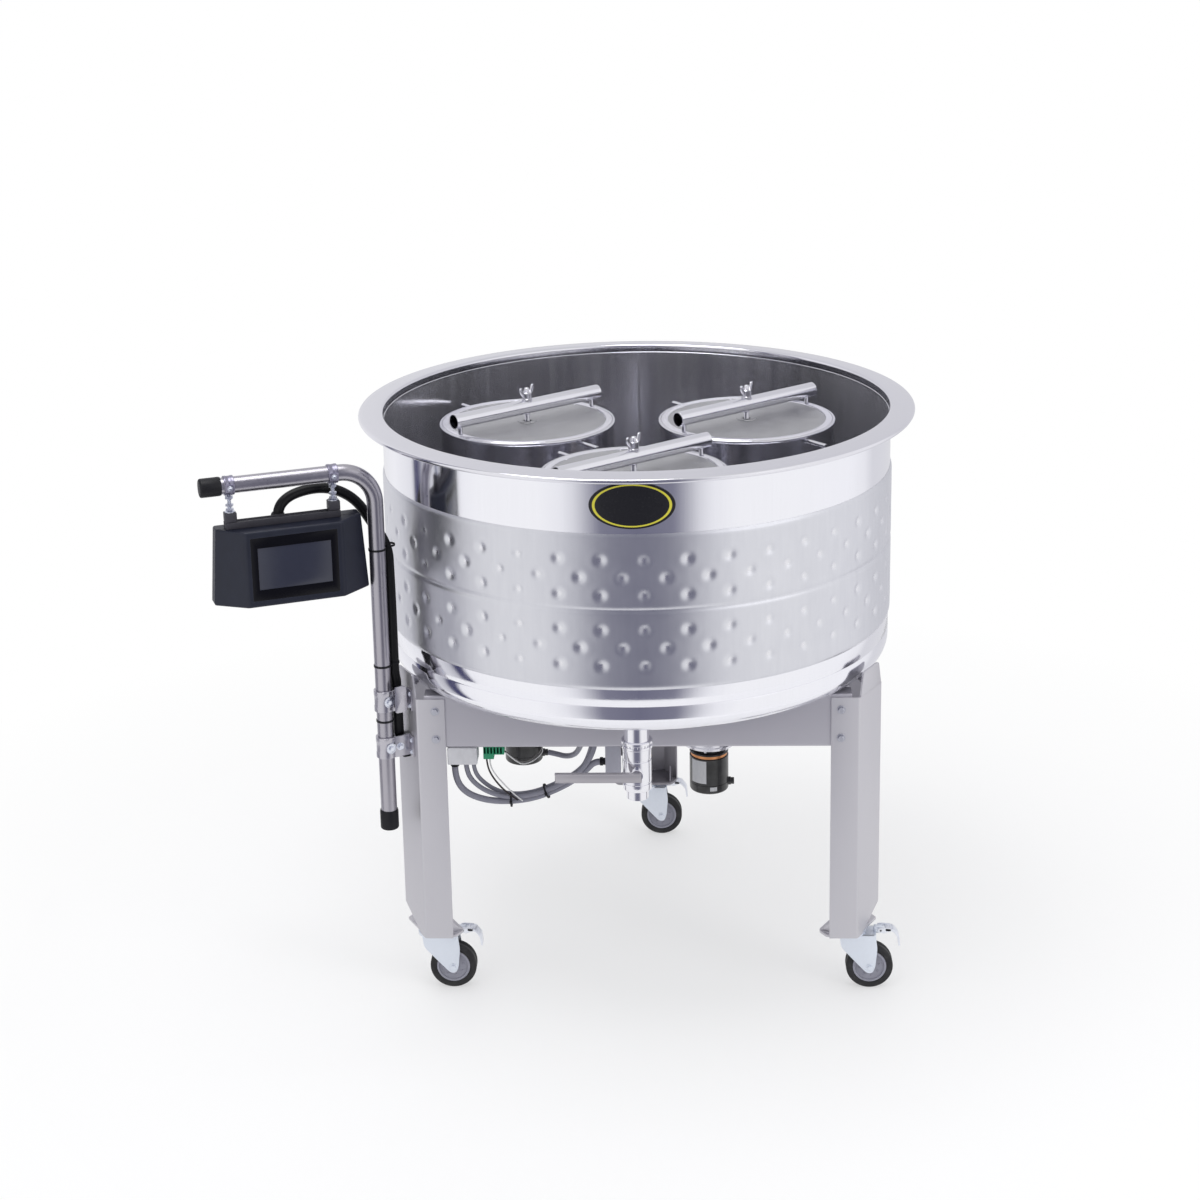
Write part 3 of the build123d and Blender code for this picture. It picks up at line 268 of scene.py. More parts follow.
def plug(tree, place, value):
    """Feed an input socket with a wire, a number or a colour."""
    if isinstance(value, Wire):
        tree.links.new(value.socket, place)
    elif hasattr(value, "__len__") and place.type == "RGBA":
        place.default_value = (*value[:3], 1)
    else:
        place.default_value = value


# %% A material that starts as one Principled shader
class Finish:
    def __init__(self, name, color=(0.8, 0.8, 0.8), rough=0.5, metal=0.0, coat=0.0, slot=None):
        self.material = bpy.data.materials.new(name)
        self.material.use_nodes = True
        self.tree = self.material.node_tree
        self.shader = self.tree.nodes["Principled BSDF"]
        self.output = self.tree.nodes["Material Output"]
        self.slot = slot
        self.set(**{"Base Color": color, "Roughness": rough, "Metallic": metal, "Coat Weight": coat})
        self.place = self.node("ShaderNodeTexCoord", out="Object")

    def set(self, **values):
        for name, value in values.items():
            plug(self.tree, self.shader.inputs[name], value)

    def node(self, kind, settings=None, out=0, **values):
        made = self.tree.nodes.new(kind)
        for name, value in (settings or {}).items():
            setattr(made, name, value)
        for name, value in values.items():
            plug(self.tree, made.inputs[name.replace("_", " ")], value)
        return Wire(self.tree, made.outputs[out])

    def stretched(self, scale, source=None):
        return self.node("ShaderNodeMapping", Vector=source or self.place, Scale=scale)

    def noise(self, size, stretch=(1, 1, 1), detail=3.0, rough=0.55, source=None):
        """Noise from 0 to 1 whose grains are about `size` metres, stretched along an axis by a small factor."""
        where = self.stretched(stretch, source)
        return self.node("ShaderNodeTexNoise", Vector=where, Scale=1 / size, Detail=detail, Roughness=rough)

    def blend(self, low, high, factor):
        """A colour between two, by a factor."""
        made = self.tree.nodes.new("ShaderNodeMix")
        made.data_type = "RGBA"
        plug(self.tree, made.inputs[0], factor)
        plug(self.tree, made.inputs[6], low)
        plug(self.tree, made.inputs[7], high)
        return Wire(self.tree, made.outputs[2])

    def axis(self, name, source=None):
        return self.node("ShaderNodeSeparateXYZ", out=name, Vector=source or self.place)

    def from_axis(self):
        """Distance from the kettle's axis, in metres."""
        east, north = self.axis("X") - KETTLE_X, self.axis("Y")
        return (east * east + north * north).root()

    def relief(self, height, depth):
        """Bumps of about `depth` metres."""
        self.set(Normal=self.node("ShaderNodeBump", Height=height, Distance=depth, Strength=1.0))
        return self

    def on(self, *objects):
        for obj in objects:
            obj.data.materials.clear()
            obj.data.materials.append(self.material)
            if self.slot and "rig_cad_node" not in obj:
                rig.slot(obj, self.slot)
        return self


print("material kit ready")

# %% [markdown]
# ## The studio
#
# The object stands on a white floor in soft light from above. Polished steel has no look of its own, only that
# of what it reflects, so a photographer puts a tent round such a thing: white at both sides, open and dark
# where the camera looks in, with a few narrow dark edges. The tent here is seen by reflections alone. It gives
# no light and takes none away, so that plain colours still render about as they are written.

# %% White floor and plain world
def add_plane(name, size, place):
    bpy.ops.object.select_all(action="DESELECT")
    bpy.ops.mesh.primitive_plane_add(size=size, location=place)
    plane = bpy.context.object
    plane.name = name
    return plane


bpy.ops.object.select_all(action="DESELECT")
floor = add_plane("floor", 60, (0, 0, -0.0005))
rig.stage(floor)
ground = Finish("studio_floor", (0.93, 0.93, 0.94), 0.6)
path = ground.tree.nodes.new("ShaderNodeLightPath")
camera_ray = Wire(ground.tree, path.outputs["Is Camera Ray"])
glossy_ray = Wire(ground.tree, path.outputs["Is Glossy Ray"])
white = ground.tree.nodes.new("ShaderNodeEmission")
white.inputs["Color"].default_value = (1, 1, 1, 1)
joined = ground.tree.nodes.new("ShaderNodeMixShader")
away = ground.from_axis().cut(0.9, 2.2)
plug(ground.tree, joined.inputs[0], camera_ray * (away * 0.5 + 0.5) + glossy_ray * 0.7)
ground.tree.links.new(ground.shader.outputs[0], joined.inputs[1])
ground.tree.links.new(white.outputs[0], joined.inputs[2])
ground.tree.links.new(joined.outputs[0], ground.output.inputs["Surface"])
ground.on(floor)

world = bpy.data.worlds.new("studio")
bpy.context.scene.world = world
world.use_nodes = True
wires = world.node_tree
light_path = wires.nodes.new("ShaderNodeLightPath")
ambient = wires.nodes["Background"]
ambient.inputs["Color"].default_value = (0.985, 0.99, 1.0, 1)
ambient.inputs["Strength"].default_value = 0.78
backdrop = wires.nodes.new("ShaderNodeBackground")
backdrop.inputs["Color"].default_value = (1, 1, 1, 1)
seen = Wire(wires, light_path.outputs["Is Camera Ray"])
either = seen.math("MAXIMUM", seen, Wire(wires, light_path.outputs["Is Transmission Ray"]))
mixed = wires.nodes.new("ShaderNodeMixShader")
plug(wires, mixed.inputs[0], either)
wires.links.new(ambient.outputs[0], mixed.inputs[1])
wires.links.new(backdrop.outputs[0], mixed.inputs[2])
wires.links.new(mixed.outputs[0], wires.nodes["World Output"].inputs["Surface"])


# %% Soft lamps overhead
def soft_lamp(name, place, aim, size, power):
    lamp = bpy.data.objects.new(name, bpy.data.lights.new(name, "AREA"))
    bpy.context.scene.collection.objects.link(lamp)
    lamp.data.shape, lamp.data.size, lamp.data.energy = "DISK", size, power
    lamp.location = place
    lamp.rotation_euler = (Vector(aim) - Vector(place)).to_track_quat("-Z", "Y").to_euler()
    return lamp


soft_lamp("overhead", (-0.6, -0.6, 4.6), (0.1, 0, 0.6), 2.6, 62)
soft_lamp("side", (3.6, -2.6, 2.6), (0.1, 0, 0.8), 1.6, 26)

# %% Reflecting tent
TENT_R, TENT_H = 1.42, 3.0
# Direction of each tone from the camera's side, in degrees and anticlockwise from above, and its grey.
TENT_TONES = [
    (-180, 0.74), (-150, 0.80), (-120, 0.95), (-100, 0.86), (-98.5, 0.05), (-95.5, 0.05), (-92, 0.55), (-87, 0.72),
    (-80, 0.55), (-77, 0.05), (-73, 0.05), (-70.5, 0.95), (-60, 1.0), (-36, 1.0), (-27, 0.92), (-22, 0.75),
    (-18, 0.50), (-13, 0.22), (0, 0.17), (13, 0.22), (18, 0.50), (22, 0.75), (27, 0.92), (36, 1.0), (60, 1.0),
    (90, 0.98), (103, 0.9), (110, 0.74), (180, 0.74),
]
bpy.ops.object.select_all(action="DESELECT")
bpy.ops.mesh.primitive_cylinder_add(
    vertices=96, radius=TENT_R, depth=TENT_H, end_fill_type="NOTHING", location=(KETTLE_X, 0, TENT_H / 2)
)
tent = bpy.context.object
tent.name = "reflecting_tent"
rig.stage(tent)
cloth = Finish("tent_cloth")
spot = cloth.stretched((1, 1, 1), cloth.place)
towards = math.radians(-89)
turned = cloth.node("ShaderNodeVectorRotate", {"rotation_type": "Z_AXIS"}, Vector=cloth.place, Angle=-towards)
angle = turned.math("ARCTAN2", cloth.axis("Y", turned), cloth.axis("X", turned))
ramp = cloth.tree.nodes.new("ShaderNodeValToRGB")
plug(cloth.tree, ramp.inputs[0], angle / math.tau + 0.5)
stops = ramp.color_ramp.elements
for place, (degrees, grey) in enumerate(TENT_TONES):
    stop = stops[place] if place < 2 else stops.new(0.5)
    stop.position = 0.999
for stop, (degrees, grey) in zip(list(stops), TENT_TONES):
    stop.color = (grey, grey, min(1, grey + 0.065 * (1 - grey) + 0.012), 1)
for place, (degrees, grey) in enumerate(TENT_TONES):
    stops[place].position = 0.5 + degrees / 360
glow = cloth.tree.nodes.new("ShaderNodeEmission")
cloth.tree.links.new(ramp.outputs[0], glow.inputs["Color"])
cloth.tree.links.new(glow.outputs[0], cloth.output.inputs["Surface"])
cloth.on(tent)
tent.visible_camera = tent.visible_diffuse = tent.visible_shadow = tent.visible_transmission = False
print("studio ready, tent radius", TENT_R)

# %% [markdown]
# ## Modelling helpers
#
# Most pieces here are turned, folded or bent. Turned ones start as a single vertex that is extruded along half
# of the section and then spun round the axis. Folded ones are a section extruded along its length. Whatever is
# selected is changed by an operator, so each helper starts with nothing selected, and each piece ends with its
# place in its mesh and its object at the origin.

# %% Select, settle and shade
def clear_selection():
    if bpy.context.object and bpy.context.object.mode != "OBJECT":
        bpy.ops.object.mode_set(mode="OBJECT")
    bpy.ops.object.select_all(action="DESELECT")


def activate(obj):
    clear_selection()
    obj.select_set(True)
    bpy.context.view_layer.objects.active = obj


def settle(obj, sharp=35):
    """Leave the object at the origin, unturned and unscaled, and shade it smooth up to an angle."""
    activate(obj)
    bpy.ops.object.transform_apply(location=True, rotation=True, scale=True)
    bpy.ops.object.shade_smooth_by_angle(angle=math.radians(sharp))
    return obj


def modify(obj, kind, **settings):
    """Add a modifier and apply it at once."""
    activate(obj)
    made = obj.modifiers.new(kind.lower(), kind)
    for name, value in settings.items():
        setattr(made, name, value)
    bpy.ops.object.modifier_apply(modifier=made.name)
    return obj


def join(name, *pieces):
    clear_selection()
    for piece in pieces:
        piece.select_set(True)
    bpy.context.view_layer.objects.active = pieces[0]
    bpy.ops.object.join()
    pieces[0].name = name
    return pieces[0]


def copy_of(obj, name, shift=(0, 0, 0), turn=0.0, about=(0, 0, 0)):
    """A copy with its own mesh, turned about a vertical axis and then moved."""
    twin = obj.copy()
    twin.data = obj.data.copy()
    twin.name = name
    bpy.context.scene.collection.objects.link(twin)
    middle = Matrix.Translation(Vector(about))
    twin.data.transform(Matrix.Translation(Vector(shift)) @ middle @ Matrix.Rotation(turn, 4, "Z") @ middle.inverted())
    return twin


# %% Turned pieces
def outline_vertex(name):
    clear_selection()
    bpy.ops.mesh.primitive_plane_add(size=0.01, location=(0, 0, 0))
    obj = bpy.context.object
    obj.name = name
    bpy.ops.object.mode_set(mode="EDIT")
    bpy.ops.mesh.select_all(action="SELECT")
    bpy.ops.mesh.merge(type="CENTER")
    return obj


def draw_outline(points):
    """Extrude the selected vertex from point to point."""
    bpy.ops.transform.translate(value=points[0])
    for start, end in zip(points, points[1:]):
        step = Vector(end) - Vector(start)
        bpy.ops.mesh.extrude_region_move(TRANSFORM_OT_translate={"value": step})
    bpy.ops.mesh.select_all(action="SELECT")


def turned(name, section, steps=64, centre=(0, 0, 0), along="Z", sharp=35):
    """Spin a section of (radius, height) points. along says which axis the height runs on."""
    obj = outline_vertex(name)
    draw_outline([(radius, 0, height) for radius, height in section])
    bpy.ops.mesh.spin(steps=steps, angle=math.tau, center=(0, 0, 0), axis=(0, 0, 1))
    bpy.ops.mesh.select_all(action="SELECT")
    bpy.ops.mesh.remove_doubles(threshold=1e-6)
    bpy.ops.mesh.normals_make_consistent(inside=False)
    bpy.ops.object.mode_set(mode="OBJECT")
    if along == "X":
        obj.data.transform(Matrix.Rotation(math.pi / 2, 4, "Y"))
    if along == "Y":
        obj.data.transform(Matrix.Rotation(-math.pi / 2, 4, "X"))
    obj.data.transform(Matrix.Translation(Vector(centre)))
    return settle(obj, sharp)


def arc(centre_r, centre_z, radius, start, end, count=6):
    """Points of a rounded corner in a section, from one angle in degrees to another."""
    angles = [math.radians(start + (end - start) * k / count) for k in range(count + 1)]
    return [(centre_r + radius * math.cos(a), centre_z + radius * math.sin(a)) for a in angles]


# %% [markdown]
# ## The kettle wall and its rim
#
# The kettle is one rolled and welded sheet with a knuckle at its foot, polished like a mirror. Its rim is a
# wide ring that rises over a bend and ends in a turned-down edge. Both are turned pieces. A high count of steps
# matters more here than anywhere else, because a mirror shows every facet.

# %% Kettle wall
KETTLE = (KETTLE_X, 0, 0)
WALL_R, WALL_T, BASE_Z, KNUCKLE = 0.538, 0.003, 0.691, 0.040
INNER_R = WALL_R - WALL_T
wall_section = [(0.0, BASE_Z), (0.24, BASE_Z)]
wall_section += arc(WALL_R - KNUCKLE, BASE_Z + KNUCKLE, KNUCKLE, -90, 0, 12)
wall_section += [(WALL_R, 0.7495), (WALL_R - 0.0012, 0.7515), (WALL_R, 0.7535), (WALL_R, 0.79), (WALL_R, 1.108)]
wall_section += [(WALL_R, 1.215), (INNER_R, 1.215), (INNER_R, 0.90)]
wall_section += arc(WALL_R - KNUCKLE, BASE_Z + KNUCKLE, KNUCKLE - WALL_T, 0, -90, 12)
wall_section += [(0.24, BASE_Z + WALL_T), (0.0, BASE_Z + WALL_T)]
kettle_wall = turned("kettle_wall", wall_section, 288, KETTLE, sharp=50)
clear_selection()
bpy.ops.mesh.primitive_cylinder_add(vertices=48, radius=0.019, depth=0.04, location=(KETTLE_X, -0.42, BASE_Z))
drill = bpy.context.object
modify(kettle_wall, "BOOLEAN", object=drill, operation="DIFFERENCE", solver="EXACT")
bpy.data.objects.remove(drill)
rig.ride(kettle_wall, "root")
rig.replaces(kettle_wall, "kettle_shell")
print("kettle wall faces", len(kettle_wall.data.polygons))

# %% Rim ring
RIM_R, LIP_Z = 0.588, 1.234
rim_section = [(INNER_R, 1.215), (INNER_R, LIP_Z - 0.006)]
rim_section += arc(INNER_R + 0.006, LIP_Z - 0.006, 0.006, 180, 90, 6)
rim_section += [(0.556, LIP_Z - 0.0012), (0.572, LIP_Z - 0.0026)]
rim_section += arc(RIM_R - 0.005, LIP_Z - 0.0085, 0.005, 80, -80, 12)
rim_section += [(RIM_R - 0.0065, LIP_Z - 0.0125), (RIM_R - 0.007, LIP_Z - 0.0065), (0.57, LIP_Z - 0.0055)]
rim_section += [(0.548, LIP_Z - 0.0045), (0.5415, LIP_Z - 0.0065), (WALL_R, LIP_Z - 0.011), (WALL_R, 1.215)]
rim_section += [(INNER_R, 1.215)]
rim_ring = turned("rim_ring", rim_section, 288, KETTLE, sharp=60)
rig.ride(rim_ring, "root")
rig.replaces(rim_ring, "rim_flange")
print("rim faces", len(rim_ring.data.polygons))


# %% Weld seams of the wall
def bead(name, place, size, segments=24):
    """A low flat weld or strip, from a sphere that is squashed."""
    clear_selection()
    bpy.ops.mesh.primitive_uv_sphere_add(segments=segments, ring_count=12, radius=0.5, location=place)
    obj = bpy.context.object
    obj.name, obj.scale = name, size
    return settle(obj, 60)


seam = turned("rim_seam", [(INNER_R, 1.2135)] + arc(INNER_R, 1.215, 0.0009, -90, -270, 4) + [(INNER_R, 1.2165)], 192,
              KETTLE, sharp=60)
upright_seam = bead("upright_seam", (KETTLE_X, INNER_R, 0.96), (0.005, 0.0016, 0.51))
seams = join("inner_seams", seam, upright_seam)
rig.ride(seams, "root")

# %% [markdown]
# ## Polished, brushed and blasted steel
#
# All the steel is one metal, finished in different ways. Polish leaves long faint streaks that change only the
# roughness. Brushing leaves fine parallel scratches that also catch the light as tiny grooves. Blasting leaves
# an even matt grain. The three finishes share a recipe: noise that is stretched along the direction of work.

# %% Steel finishes
def steel(name, color, rough, spread, stretch, grain=0.0012, depth=0.0, slot=None, tint=0.06):
    """Metal with stretched noise in its roughness, a little in its colour, and a fine relief."""
    made = Finish(name, color, rough, 1.0, slot=slot)
    streaks = made.noise(grain, stretch, 4)
    clouds = made.noise(0.11, (1, 1, 1), 2)
    made.set(Roughness=rough + (streaks - 0.5) * spread + (clouds - 0.5) * spread * 0.6)
    color = (color[0] * 0.985, color[1] * 0.98, min(1, color[2] * 1.02))
    dark = tuple(c * (1 - tint) for c in color)
    made.set(**{"Base Color": made.blend(dark, color, streaks * 0.6 + clouds * 0.4)})
    if depth:
        made.relief(streaks, depth)
    return made


mirror_wall = steel("mirror_wall", (0.90, 0.905, 0.92), 0.10, 0.10, (1, 1, 0.02), 0.004, 0.00002, "steel_polished")
# The inside is less bright than the outside and scatters more light, with upright wipe marks.
inside = 1 - mirror_wall.from_axis().cut(WALL_R - 0.0018, WALL_R - 0.0012)
wipes = mirror_wall.noise(0.02, (1, 1, 0.03), 4)
mirror_wall.set(Roughness=0.10 + (wipes - 0.5) * 0.12 + inside * 0.06, Metallic=1 - inside * (wipes * 0.12 + 0.02))
mirror_wall.on(kettle_wall, seams)
mirror_rim = steel("mirror_rim", (0.80, 0.80, 0.82), 0.13, 0.08, (1, 1, 1), 0.01, 0.00002, "steel_polished")
mirror_rim.on(rim_ring)
pipe_steel = steel("pipe_steel", (0.72, 0.72, 0.74), 0.2, 0.14, (1, 1, 0.03), 0.003, 0.00003, "steel_pipe")
zinc = steel("blue_zinc", (0.80, 0.83, 0.88), 0.30, 0.2, (1, 1, 1), 0.006, 0.00004, "zinc", 0.12)
print("steel finishes ready")

# %% [markdown]
# ## The cooling jacket
#
# A dimple jacket is a thin sheet that is welded to the wall at hundreds of spots and then blown up with
# pressure, so that it swells between the spots. Each spot stays as a small crater with a weld in its middle.
# The craters stand in six rows. A fine grid is added and its vertices are rolled round the kettle in code,
# because no modifier places craters so exactly. A colour attribute keeps where the welds are, for the finish.

# %% Dimpled sheet
JACKET_LOW, JACKET_SEAM, JACKET_HIGH, SWELL = 0.788, 0.952, 1.108, 0.0034
ROWS = [(1.055, 2.3), (1.019, -2.2), (0.983, 2.3), (0.912, 2.3), (0.875, -2.2), (0.838, 2.3)]
clear_selection()
bpy.ops.mesh.primitive_grid_add(x_subdivisions=960, y_subdivisions=92, size=1)
jacket = bpy.context.object
jacket.name = "dimple_jacket"
spots = np.empty(len(jacket.data.vertices) * 3)
jacket.data.vertices.foreach_get("co", spots)
spots = spots.reshape(-1, 3)
azimuth = (spots[:, 0] + 0.5) * math.tau
height = JACKET_LOW + (spots[:, 1] + 0.5) * (JACKET_HIGH - JACKET_LOW)
edge = np.minimum(height - JACKET_LOW, JACKET_HIGH - height)
bulge = SWELL * np.clip(edge / 0.008, 0, 1) ** 0.5
bulge -= (SWELL - 0.0006) * np.exp(-(((height - JACKET_SEAM) / 0.0042) ** 2))
weld = np.zeros(len(spots))
pitch = math.tau / 40
for row_z, offset in ROWS:
    start = math.radians(-90 + offset)
    across = (np.mod(azimuth - start + pitch / 2, pitch) - pitch / 2) * WALL_R
    far = np.sqrt(across**2 + (height - row_z) ** 2)
    bulge -= (SWELL - 0.0003) * np.exp(-((far / 0.0098) ** 2))
    bulge += 0.0004 * np.exp(-(((far - 0.0165) / 0.006) ** 2))
    weld = np.maximum(weld, np.clip(1.25 - far / 0.0075, 0, 1))
radius = WALL_R + np.clip(bulge, 0.0001, 0.0035)
spots[:, 0] = KETTLE_X + radius * np.cos(azimuth)
spots[:, 1] = radius * np.sin(azimuth)
spots[:, 2] = height
jacket.data.vertices.foreach_set("co", spots.ravel())
jacket.data.update()
mark = jacket.data.attributes.new("weld", "FLOAT", "POINT")
mark.data.foreach_set("value", weld)
activate(jacket)
bpy.ops.object.mode_set(mode="EDIT")
bpy.ops.mesh.select_all(action="SELECT")
bpy.ops.mesh.remove_doubles(threshold=1e-5)
bpy.ops.mesh.normals_make_consistent(inside=False)
bpy.ops.object.mode_set(mode="OBJECT")
settle(jacket, 80)
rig.ride(jacket, "root")
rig.replaces(jacket, "cooling_jacket")
print("jacket faces", len(jacket.data.polygons), "welds", 40 * len(ROWS))

# %% Blasted steel with bright weld spots
blasted = Finish("blasted_steel", (0.60, 0.60, 0.62), 0.36, 1.0, slot="steel_blasted")
grain = blasted.noise(0.0011, (1, 1, 1), 4)
rolled = blasted.noise(0.012, (1, 1, 0.12), 3)
patches = blasted.noise(0.09, (1, 1, 1), 2)
welds = blasted.node("ShaderNodeAttribute", {"attribute_name": "weld"}, out="Fac")
plain = blasted.blend((0.60, 0.605, 0.655), (0.74, 0.745, 0.79), rolled * 0.5 + patches * 0.5)
blasted.set(**{"Base Color": blasted.blend(plain, (0.84, 0.84, 0.87), welds * 0.7)})
blasted.set(Roughness=0.34 + (grain - 0.5) * 0.16 + (patches - 0.5) * 0.08 - welds * 0.1)
blasted.relief(grain, 0.00006)
blasted.on(jacket)

# %% [markdown]
# ## Sections, plates and bars
#
# Folded and cast pieces start from a flat outline that is extruded, and bars from a small section that is spun.
# A fine bevel then rounds every sharp edge, since no real edge is sharp and the bevel is what catches the light.

# %% Extruded outlines and round bars
def pressed(name, corners, depth, bevel=0.0008, segments=2, sharp=40):
    """Fill a flat outline of 3-D corners, extrude it by a vector and round its edges."""
    obj = outline_vertex(name)
    draw_outline(list(corners) + [corners[0]])
    bpy.ops.mesh.remove_doubles(threshold=1e-6)
    bpy.ops.mesh.edge_face_add()
    bpy.ops.mesh.extrude_region_move(TRANSFORM_OT_translate={"value": depth})
    bpy.ops.mesh.select_all(action="SELECT")
    bpy.ops.mesh.normals_make_consistent(inside=False)
    bpy.ops.object.mode_set(mode="OBJECT")
    if bevel:
        modify(obj, "BEVEL", width=bevel, segments=segments, angle_limit=math.radians(30))
    return settle(obj, sharp)


def boxed(name, low, high, bevel=0.001, segments=2):
    (x, y, z), (far_x, far_y, far_z) = low, high
    corners = [(x, y, z), (far_x, y, z), (far_x, far_y, z), (x, far_y, z)]
    return pressed(name, corners, (0, 0, far_z - z), bevel, segments)


def bar(name, start, end, section, steps=24, sharp=35):
    """Spin a section of (radius, distance from start) and lay it from start towards end."""
    obj = turned(name, section, steps, sharp=sharp)
    way = Vector(end) - Vector(start)
    obj.data.transform(Matrix.Translation(Vector(start)) @ way.to_track_quat("Z", "Y").to_matrix().to_4x4())
    return obj


def solid_bar(name, start, end, radius, steps=24, edge=0.0008):
    length = (Vector(end) - Vector(start)).length
    section = [(0, 0), (radius - edge, 0), (radius, edge), (radius, length - edge), (radius - edge, length), (0, length)]
    return bar(name, start, end, section, steps)


def threaded(radius, low, high, pitch, depth=0.0006):
    """Section of a threaded rod, as ridges, with the height measured along it."""
    points = [(0, low), (radius - depth, low)]
    for turn_index in range(int((high - low) / pitch)):
        z = low + turn_index * pitch
        points += [(radius, z + pitch * 0.5), (radius - depth, z + pitch)]
    return points + [(radius - depth, high), (0, high)]


def moved(obj, shift=(0, 0, 0), turn=0.0):
    """Turn a piece about the vertical axis through the origin, then shift it, in its mesh."""
    obj.data.transform(Matrix.Translation(Vector(shift)) @ Matrix.Rotation(turn, 4, "Z"))
    return obj


def polar(radius, degrees, z=0.0, centre=(KETTLE_X, 0)):
    turn = math.radians(degrees)
    return Vector((centre[0] + radius * math.cos(turn), centre[1] + radius * math.sin(turn), z))


print("helpers for sections ready")

# %% [markdown]
# ## The oval plate
#
# A black enamelled oval with a thin yellow line inside its edge sits on the front of the kettle, bent to the
# wall. It is cut as a flat oval, bent in code to the wall's radius.

# %% Bent oval plate
PLATE_Z, PLATE_HALF = 1.165, (0.084, 0.047)
clear_selection()
bpy.ops.mesh.primitive_circle_add(vertices=128, radius=1, fill_type="NGON")
oval = bpy.context.object
oval.name = "oval_plate"
oval.data.transform(Matrix.Diagonal((PLATE_HALF[0], PLATE_HALF[1], 1, 1)))
bpy.ops.object.mode_set(mode="EDIT")
bpy.ops.mesh.select_all(action="SELECT")
bpy.ops.mesh.inset(thickness=0.0007, depth=0.0012)
for width in (0.0055, 0.0042, 0.006, 0.009, 0.01):
    bpy.ops.mesh.inset(thickness=width, depth=0)
bpy.ops.mesh.poke()
bpy.ops.object.mode_set(mode="OBJECT")
ring = oval.data.attributes.new("ring", "FLOAT", "POINT")
for index, vertex in enumerate(oval.data.vertices):
    across, along, out = vertex.co
    reach = math.hypot(across / PLATE_HALF[0], along / PLATE_HALF[1])
    ring.data[index].value = reach
    lift = WALL_R + 0.0004 + out * 1.2
    vertex.co = (KETTLE_X + lift * math.sin(across / WALL_R), -lift * math.cos(across / WALL_R), PLATE_Z + along)
settle(oval, 50)
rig.ride(oval, "root")
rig.replaces(oval, "badge_plate")
enamel = Finish("black_enamel", (0.006, 0.006, 0.007), 0.2, 0.0, 0.5, "badge")
reach = enamel.node("ShaderNodeAttribute", {"attribute_name": "ring"}, out="Fac")
line = reach.cut(0.845, 0.86) * (1 - reach.cut(0.905, 0.92))
speck = enamel.noise(0.004, detail=5)
dark = enamel.blend((0.004, 0.004, 0.005), (0.012, 0.012, 0.013), speck)
enamel.set(**{"Base Color": enamel.blend(dark, (0.72, 0.66, 0.05), line), "Roughness": 0.18 + speck * 0.14})
enamel.relief(line * 1.0 + speck * 0.15, 0.0001).on(oval)
print("oval plate vertices", len(oval.data.vertices))

# %% [markdown]
# ## The malt pipes
#
# Each malt pipe is a rolled tube with a beaded top. A perforated floor holds the malt, and a sieve drops into
# the top and is held down by a tube across it, by a rod from the kettle floor and by a wing nut. The three
# groups are the same, so one is modelled round the origin and copied to the other two places. Each group goes
# on its own body, so that it can be lifted out.

# %% Pipe wall with its beaded top and floor
PIPE_R, PIPE_TOP, PIPE_FLOOR, PIPE_LOW, ROD_HOLE = 0.190, 1.158, 0.7203, 0.6943, 0.009
pipe_section = [(PIPE_R - 0.003, PIPE_LOW), (PIPE_R, PIPE_LOW), (PIPE_R, PIPE_TOP - 0.010)]
pipe_section += arc(PIPE_R - 0.0002, PIPE_TOP - 0.0042, 0.0041, -80, 85, 8)
pipe_section += [(PIPE_R - 0.003, PIPE_TOP - 0.0006), (PIPE_R - 0.003, PIPE_TOP - 0.008)]
pipe_section += [(PIPE_R - 0.012, PIPE_TOP - 0.0082), (PIPE_R - 0.0125, PIPE_TOP - 0.0118)]
pipe_section += [(PIPE_R - 0.003, PIPE_TOP - 0.012), (PIPE_R - 0.003, PIPE_FLOOR + 0.004), (ROD_HOLE, PIPE_FLOOR + 0.004)]
pipe_section += [(ROD_HOLE, PIPE_FLOOR), (PIPE_R - 0.003, PIPE_FLOOR), (PIPE_R - 0.003, PIPE_LOW)]
pipe_wall = turned("pipe_wall", pipe_section, 128, sharp=50)
BAR_TURN = math.radians(40)
pins = []
for side in (1, -1):
    way = Vector((math.cos(BAR_TURN + side * math.pi / 2), math.sin(BAR_TURN + side * math.pi / 2), 0))
    pin = solid_bar("lifting_pin", way * (PIPE_R - 0.0015), way * (PIPE_R + 0.059), 0.005, 20, 0.0012)
    pins.append(moved(pin, (0, 0, PIPE_TOP - 0.014)))
pipe_wall = join("pipe_wall", pipe_wall, *pins)

# %% Sieve: a frame ring and a mesh plate
SIEVE_LOW, SIEVE_R = 1.1503, 0.1867
frame_section = arc(SIEVE_R - 0.0014, SIEVE_LOW + 0.0014, 0.0014, -90, 0, 3)
frame_section += arc(SIEVE_R - 0.0016, SIEVE_LOW + 0.0064, 0.0016, 0, 90, 4)
frame_section += arc(SIEVE_R - 0.0134, SIEVE_LOW + 0.0064, 0.0016, 90, 180, 4)
frame_section += [(SIEVE_R - 0.015, SIEVE_LOW + 0.0004), (SIEVE_R - 0.0145, SIEVE_LOW)]
frame_section.append(frame_section[0])
sieve_frame = turned("sieve_frame", frame_section, 128, sharp=50)
collar = [(ROD_HOLE, 1.1543), (SIEVE_R - 0.0146, 1.1543), (SIEVE_R - 0.0146, 1.1560), (0.022, 1.1560)]
collar += [(0.0212, 1.1575), (0.0112, 1.1575), (ROD_HOLE, 1.157), (ROD_HOLE, 1.1543)]
sieve_plate = turned("sieve_plate", collar, 96, sharp=50)
rim_welds = [bead("sieve_weld", polar(0.1716, k * 45 + 10, 1.1562, (0, 0)), (0.006, 0.006, 0.0012), 12) for k in range(8)]
sieve_frame = join("sieve_frame", sieve_frame, *rim_welds)

